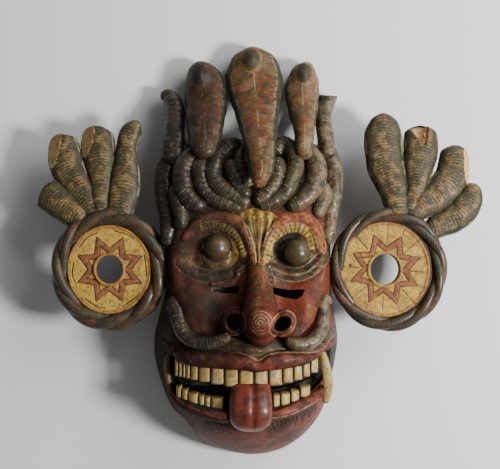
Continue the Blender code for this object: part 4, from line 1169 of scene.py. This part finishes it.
def pierce(piece):
    """Cuts the sight slits, the nostrils and the gap between the rows of teeth."""
    outlines = [list(slit) for slit in SIGHT_SLITS]
    for cx, cy, wide, tall, turn in NOSTRIL_BORES:
        lean = math.radians(turn)
        ring = []
        for n in range(NOSTRIL_SIDES):
            a = 2 * math.pi * n / NOSTRIL_SIDES
            u, v = wide * math.cos(a), tall * math.sin(a)
            ring.append((cx + u * math.cos(lean) - v * math.sin(lean),
                         cy + u * math.sin(lean) + v * math.cos(lean)))
        outlines.append(ring)
    for low, high in MOUTH_GAPS:
        along = np.linspace(low, high, MOUTH_STEPS)
        top = curve_at(along, MOUTH_TOP) - GAP_INSET
        foot = curve_at(along, MOUTH_LOW) + GAP_INSET
        outlines.append([*zip(along, top), *zip(along[::-1], foot[::-1])])
    mesh = bpy.data.meshes.new("piercings")
    whole = bmesh.new()
    for outline in outlines:
        block = prism([(float(x), float(y)) for x, y in outline])
        block.to_mesh(mesh)
        block.free()
        whole.from_mesh(mesh)
    whole.to_mesh(mesh)
    whole.free()
    cutter = add_object("piercings", mesh)
    cut = piece.modifiers.new("pierced", "BOOLEAN")
    cut.operation = "DIFFERENCE"
    cut.solver = "EXACT"
    cut.object = cutter
    graph = bpy.context.evaluated_depsgraph_get()
    pierced = bpy.data.meshes.new_from_object(piece.evaluated_get(graph))
    piece.modifiers.clear()
    piece.data = pierced
    bpy.data.objects.remove(cutter, do_unlink=True)


def make_eyes():
    """Two domed eyeballs on short collars."""
    carving = Carving()
    for (x, y, z), stand in zip(EYEBALLS, (4.0, 9.0)):
        climb = np.linspace(0, 1, DOME_STEPS)
        angle = climb * math.pi / 2
        radius = EYEBALL_RADIUS * np.cos(angle)
        height = z + EYEBALL_RADIUS * np.sin(angle)
        collar = np.array([(EYEBALL_RADIUS + 1.9, z - stand - 4), (EYEBALL_RADIUS + 2.0, z - stand + 1),
                           (EYEBALL_RADIUS + 1.2, z - stand + 2.2), (EYEBALL_RADIUS - 0.3, z - stand + 2.6),
                           (EYEBALL_RADIUS - 0.1, z - stand + 3.4)])
        profile = np.vstack([collar, np.stack([np.maximum(radius, 0.02), height], -1)])
        turn = circle(ROUND_SIDES)[None]
        points = np.stack([x + profile[:, :1] * np.cos(turn), y + profile[:, :1] * np.sin(turn),
                           np.broadcast_to(profile[:, 1:], (len(profile), ROUND_SIDES))], -1)
        foot = np.concatenate([[1, 1, 0.9, 0.75, 0.6], 0.5 * (1 - climb)])[:, None]
        carving.add_grid(points, {"foot": foot}, caps=(True, True))
    return carving.build("eyeballs", eye_paint())


def tooth(carving, left, right, top, foot, wear):
    """Adds one squarish tooth with rounded edges, between its sides and its two heights."""
    middle = (left + right) / 2
    away = middle - TEETH_X
    z = TEETH_Z - TEETH_SWEEP * away ** 2
    grid_u, grid_v = np.meshgrid(np.sin(np.linspace(-1, 1, TOOTH_COLUMNS) * math.pi / 2),
                                 np.sin(np.linspace(-1, 1, TOOTH_ROWS) * math.pi / 2))
    half_wide, half_tall = (right - left - TOOTH_GAP) / 2, (top - foot) / 2
    narrow = 1 - 0.05 * np.clip(grid_v * wear, 0, 1) ** 2
    x = middle + grid_u * half_wide * narrow
    y = (top + foot) / 2 + grid_v * half_tall * (1 - 0.05 * np.abs(grid_u) ** 5)
    square = (1 - np.abs(grid_u) ** 10) * (1 - np.abs(grid_v) ** 12)
    bulge = 1.2 * (1 - grid_u ** 2) + 0.6 * (1 - grid_v ** 2)
    slope = -2 * TEETH_SWEEP * away
    crown = z - TOOTH_DEEP / 2 + TOOTH_DEEP * square ** 0.35 + bulge + slope * (x - middle)
    edge = (np.abs(grid_u) == 1) | (np.abs(grid_v) == 1)
    crown = np.where(edge, z - TOOTH_DEEP, crown)
    root = np.clip(grid_v * wear, 0, 1)
    carving.add_grid(np.stack([x, y, crown], -1), {"root": root}, wrap=False)


def make_teeth(finish):
    """The two rows of teeth, each tooth cut to the lip and to the gap between the rows."""
    rows = (("upper_teeth", ((UPPER_TEETH, LIP_LOW, MOUTH_TOP),), 1, 1.5, 0.2),
            ("lower_teeth", ((LOWER_TEETH_LEFT, MOUTH_LOW, LOWER_TOP),
                             (LOWER_TEETH_RIGHT, MOUTH_LOW, LOWER_TOP)), -1, -0.4, -1.2))
    for name, runs, root_way, top_in, foot_in in rows:
        carving = Carving()
        for edges, top_line, foot_line in runs:
            for left, right in zip(edges, edges[1:]):
                middle = (left + right) / 2
                top = float(curve_at(middle, top_line)) + top_in
                foot = float(curve_at(middle, foot_line)) + foot_in
                tooth(carving, left, right, top, foot, root_way)
        carving.build(name, finish)


def make_tongue():
    """The tongue: out between the rows, down over the lower lip, with a groove along it."""
    spine = smooth_route(((-127.0, 92.0, 18.5, 8), (-136.0, 98.0, 20.0, 10), (-147.0, 103.0, TONGUE_HALF, 12),
                          (-158.0, 103.0, TONGUE_HALF, 12), (-167.0, 99.0, 17.5, 11), (-172.5, 94.0, 10.5, 8),
                          (-174.5, 90.0, 2.0, 3)), 0.7)
    turn = circle(ROUND_SIDES)[None]
    y, z, half, deep = (spine[:, n][:, None] for n in range(4))
    square = 0.82
    u = np.sign(np.cos(turn)) * np.abs(np.cos(turn)) ** square
    v = np.sign(np.sin(turn)) * np.abs(np.sin(turn)) ** square
    seam = 2.4 * np.exp(-((u * half - 2.6) / 2.3) ** 2) * (v > 0) * np.clip((y + 170) / 6, 0, 1)
    points = np.stack([TONGUE_X + u * half, np.broadcast_to(y, (len(spine), ROUND_SIDES)),
                       z + v * deep - seam], -1)
    carving = Carving()
    carving.add_grid(points, {}, caps=(True, True))
    return carving.build("tongue", tongue_paint())


def make_snakes(outline, hair_finish, crown_finish, tooth_finish):
    """The hair snakes, the moustache, the tusks and the crown of cobras."""
    hair = Carving()
    for lift, route in HAIR:
        rows = np.array(route)
        z = stage_height(rows[:, 0], rows[:, 1], outline) + lift
        snake(hair, np.column_stack([rows[:, :2], z, rows[:, 2]]), ridge=(0.4, 6.2), knife_marks=0.2,
              changes=[soot_dust_and_painted_light])
    for name, changes in (("far_left", [soot_dust_and_painted_light]), ("far_right", [soot_dust_and_painted_light, snapped(*FAR_RIGHT_CUT)])):
        snake(hair, CROWN[name], HOOD_HALF_DEEP, ridge=(0.3, 6.2), knife_marks=0.2, changes=changes)
    hair.build("hair_snakes", hair_finish)
    moustache = Carving()
    for route in (MOUSTACHE_LEFT, MOUSTACHE_RIGHT):
        snake(moustache, route, ridge=(0.4, 6.2), knife_marks=0.15, changes=[soot_dust_and_painted_light])
    moustache.build("moustache_snakes", hair_finish)
    tusks = Carving()
    for route in TUSKS:
        snake(tusks, route, TUSK_HALF_DEEP, changes=[stained])
    tusks.build("tusks", tooth_finish)
    crown = Carving()
    for name, snout in SNOUTS.items():
        snake(crown, CROWN[name], HOOD_HALF_DEEP, ridge=(0.22, 3.4), sides=ROUND_SIDES,
              knife_marks=0.22, changes=[soot_dust_and_painted_light, snouted(*snout)])
    crown.build("crown_cobras", crown_finish)


def star_reach(x, y, inner, outer, turn):
    """Signed distance to a star's edge, inside it negative."""
    pitch = 2 * math.pi / STAR_POINTS
    heading = np.abs((np.arctan2(y, x) - math.radians(turn)) / pitch % 1 - 0.5) * pitch
    radius = np.hypot(x, y)
    px, py = radius * np.cos(heading), radius * np.sin(heading)
    valley = np.array([inner, 0.0])
    peak = np.array([outer * math.cos(pitch / 2), outer * math.sin(pitch / 2)])
    run = (peak - valley) / np.linalg.norm(peak - valley)
    return (px - valley[0]) * run[1] - (py - valley[1]) * run[0]


def board_place(ear):
    """Where an ear board lies, so that the flat on its ring meets the temple's seat."""
    lean = math.radians(EAR_SWEEP)
    reach = (RING_RADIUS + RING_HALF) * EAR_SQUEEZE * math.cos(lean) - SEAT_BITE
    x = MID_X + ear["side"] * (SEAT_HALF + SEAT_GAP + reach)
    return Matrix.Translation((x, EAR_Y, EAR_HEIGHT)) @ Matrix.Rotation(lean * ear["side"], 4, "Y")


def make_roundel(ear):
    """The pierced board: its painted and engraved roundel, the bed of the rope, and the plain back."""
    hole, roundel = ear["hole"], ear["roundel"]
    top = PLATE_HALF + ROUNDEL_RISE
    radii = [(hole, BORE_FLARE), (hole, BORE_FLARE + 4), (hole, top + EDGE * 0.4),
             (hole + 0.8, top + EDGE * 0.8), (hole + 2.0, top + EDGE * 0.8), (hole + 3.2, top + 0.4)]
    radii += [(r, top) for r in np.linspace(hole + 4, roundel - 2.6, ROUNDEL_RINGS)]
    radii += [(roundel - 1.6, top + 0.9), (roundel, top + 0.6), (roundel + 1.4, PLATE_HALF),
              (RING_RADIUS + EDGE, PLATE_HALF - EDGE), (RING_RADIUS + EDGE, -PLATE_HALF + EDGE),
              (RING_RADIUS - 0.5, -PLATE_HALF), (RING_RADIUS * 0.7, -PLATE_HALF),
              (hole + PLATE_HALF + BORE_FLARE, -PLATE_HALF), (hole, BORE_FLARE)]
    profile = np.array(radii)
    turn = circle(BOARD_SIDES)[None]
    x = profile[:, :1] * np.cos(turn) * EAR_SQUEEZE
    y = profile[:, :1] * np.sin(turn)
    z = np.broadcast_to(profile[:, 1:], x.shape).copy()
    shift = np.where(profile[:, :1] < roundel + 1, ear["hole_shift"], 0)
    facing = np.broadcast_to(profile[:, 1:] > PLATE_HALF + 1, x.shape)
    inner, outer = ear["star"]
    star = star_reach(x, y, inner, outer, ear["star_turn"])
    band = np.maximum(star, -star - STAR_BAND)
    radius = np.hypot(x / EAR_SQUEEZE, y)
    cuts = [np.abs(star) - 0.35, np.abs(star + STAR_BAND) - 0.35]
    if ear["spokes"]:
        pitch = 2 * math.pi / ear["spokes"]
        swing = (np.arctan2(y, x) - math.radians(ear["star_turn"])) / pitch % 1
        from_spoke = np.minimum(swing, 1 - swing) * pitch * radius
        valley = np.abs(swing - 0.5) * pitch * radius
        cuts.append(np.maximum(valley - 0.35, inner + 4.0 - radius))
        cuts.append(np.maximum(from_spoke - 0.25, outer + 3.0 - radius))
    else:
        heading = np.arctan2(y, x)
        arcs = np.abs(radius - roundel + 5.2 + 0.5 * np.sin(heading * 11)) - 0.5
        cuts.append(np.where(np.sin(heading * 6 + 0.9) > -0.25, arcs, 9.0))
    if ear["nail"]:
        cuts.append(np.hypot(x - ear["nail"][0], y - ear["nail"][1]) - 1.5)
    cut = np.where(radius > hole + 2.5, np.minimum.reduce(cuts), 9.0)
    z = z - np.where(facing & (cut < 1), 0.8 * np.clip(0.6 - cut, 0, 1), 0) + tool_marks(x, y, 9, 0.2)
    rim = np.minimum(np.abs(radius - hole - 1.5) - ear["hub"], roundel - 3.4 - radius)
    board = np.where(facing, radius - roundel - 0.4, 9.0)
    points = placed(np.stack([x + shift, y, z], -1), board_place(ear))
    carving = Carving()
    carving.add_grid(points, {"star": band, "cut": cut, "rim": rim, "board": board})
    return carving.build(f"ear_board_{ear['name']}", roundel_paint(), f"ear_disc_{ear['name']}")


def make_rope(ear, finish):
    """Snakes twisted round the edge of a board."""
    carving = Carving()
    turn = circle(ROPE_STEPS)[:, None]
    section = circle(ROPE_SIDES)[None]
    place = board_place(ear)
    middle, thick, sway = ear["rope"]
    for n in range(STRANDS):
        twist = STRAND_TURNS * turn + 2 * math.pi * n / STRANDS
        radius = middle + sway * np.cos(twist) + thick * np.cos(section)
        z = PLATE_HALF + sway * np.sin(twist) + thick * np.sin(section)
        points = np.stack([radius * np.cos(turn) * EAR_SQUEEZE, radius * np.sin(turn), z], -1)
        points = placed(points, place)
        seat = MID_X + ear["side"] * (SEAT_HALF + SEAT_GAP)
        outer = np.minimum if ear["side"] < 0 else np.maximum
        points[..., 0] = outer(points[..., 0], seat)
        fields = {"along": turn * RING_RADIUS, "lateral": thick * np.sin(section - twist)}
        round_again = np.arange(ROPE_STEPS + 1) % ROPE_STEPS
        closed = {key: np.broadcast_to(value, (ROPE_STEPS, ROPE_SIDES))[round_again]
                  for key, value in fields.items()}
        carving.add_grid(points[round_again], closed)
    return carving.build(f"ear_rope_{ear['name']}", finish, f"ear_disc_{ear['name']}")


def make_ear(ear, cobra_finish, rope_finish):
    """One ear board with its roundel, rope of snakes and fan of cobras."""
    make_roundel(ear)
    make_rope(ear, rope_finish)
    cobras = Carving()
    shift_x, shift_y = ear["side"] * FAN_SHIFT[0], FAN_SHIFT[1]
    for n, route in enumerate(ear["cobras"]):
        raised = np.array(route) * RING_RADIUS + (0, 0, EAR_HOOD_DEEP / 2, 0)
        shares = np.array(route)[:, 1]
        raised[:, 3] *= 1 + NECK_WIDEN * np.clip((2.3 - shares) / 0.9, 0, 1)
        raised[:, :2] += np.clip((shares - 0.95) / 0.6, 0, 1)[:, None] * (shift_x, shift_y)
        changes = []
        if n in ear["breaks"]:
            (x, y, z), way = ear["breaks"][n]
            changes.append(snapped((x + shift_x, y + shift_y, z), way))
        if n in ear["notches"]:
            (x, y), *ways = ear["notches"][n]
            changes.append(notched((x + shift_x, y + shift_y), *ways))
        snake(cobras, raised, EAR_HOOD_DEEP, ridge=(0.3, 3.0), sides=EAR_HOOD_SIDES,
              knife_marks=0.22, place=board_place(ear), changes=changes)
    cobras.build(f"ear_cobras_{ear['name']}", cobra_finish, f"ear_disc_{ear['name']}")


def make_floor():
    """A plain pale floor."""
    paint = Paint("floor_paint")
    shade = tuple(0.97 * c for c in FLOOR_PAINT)
    paint.finish(paint.mix(FLOOR_PAINT, shade, paint.noise(400, 2)), 0.7, coat=0)
    bpy.ops.mesh.primitive_plane_add(size=FLOOR_SIZE)
    floor = bpy.context.object
    floor.name = "floor"
    floor.data.materials.append(paint.material)


def add_light(name, place, size, power, colour):
    """A soft square lamp that faces the mask."""
    lamp = bpy.data.lights.new(name, "AREA")
    lamp.size = size
    lamp.energy = power
    lamp.color = colour
    holder = add_object(name, lamp)
    holder.location = Vector(place) * MM
    holder.rotation_euler = (-holder.location).to_track_quat("-Z", "Y").to_euler()


def make_studio():
    """The camera overhead, a key light at the right, and a cool soft fill."""
    camera = bpy.data.cameras.new("camera")
    camera.sensor_width = SENSOR
    camera.lens = SENSOR * FOCAL_PIXELS / PHOTO_WIDTH
    holder = add_object("camera", camera)
    holder.location = Vector(CAMERA_PLACE) * MM
    bpy.context.scene.camera = holder
    add_light("key", KEY_PLACE, KEY_SIZE, KEY_POWER, (1.0, 0.98, 0.95))
    add_light("fill", FILL_PLACE, FILL_SIZE, FILL_POWER, (1.0, 0.99, 0.97))
    world = bpy.data.worlds.new("studio")
    world.use_nodes = True
    sky = world.node_tree.nodes["Background"]
    sky.inputs["Color"].default_value = (*SKY, 1)
    sky.inputs["Strength"].default_value = SKY_STRENGTH
    bpy.context.scene.world = world


def main():
    """Dresses the whole mask."""
    make_studio()
    make_floor()
    outline = closed_outline(HEAD_OUTLINE, SPOKES)
    tooth_finish, cobra_finish, rope_finish = tooth_paint(), cobra_paint(), rope_paint()
    make_face(outline)
    make_eyes()
    make_teeth(tooth_finish)
    make_tongue()
    make_snakes(outline, hair_paint(), crown_paint(), tooth_finish)
    for ear in EARS:
        make_ear(ear, cobra_finish, rope_finish)


main()
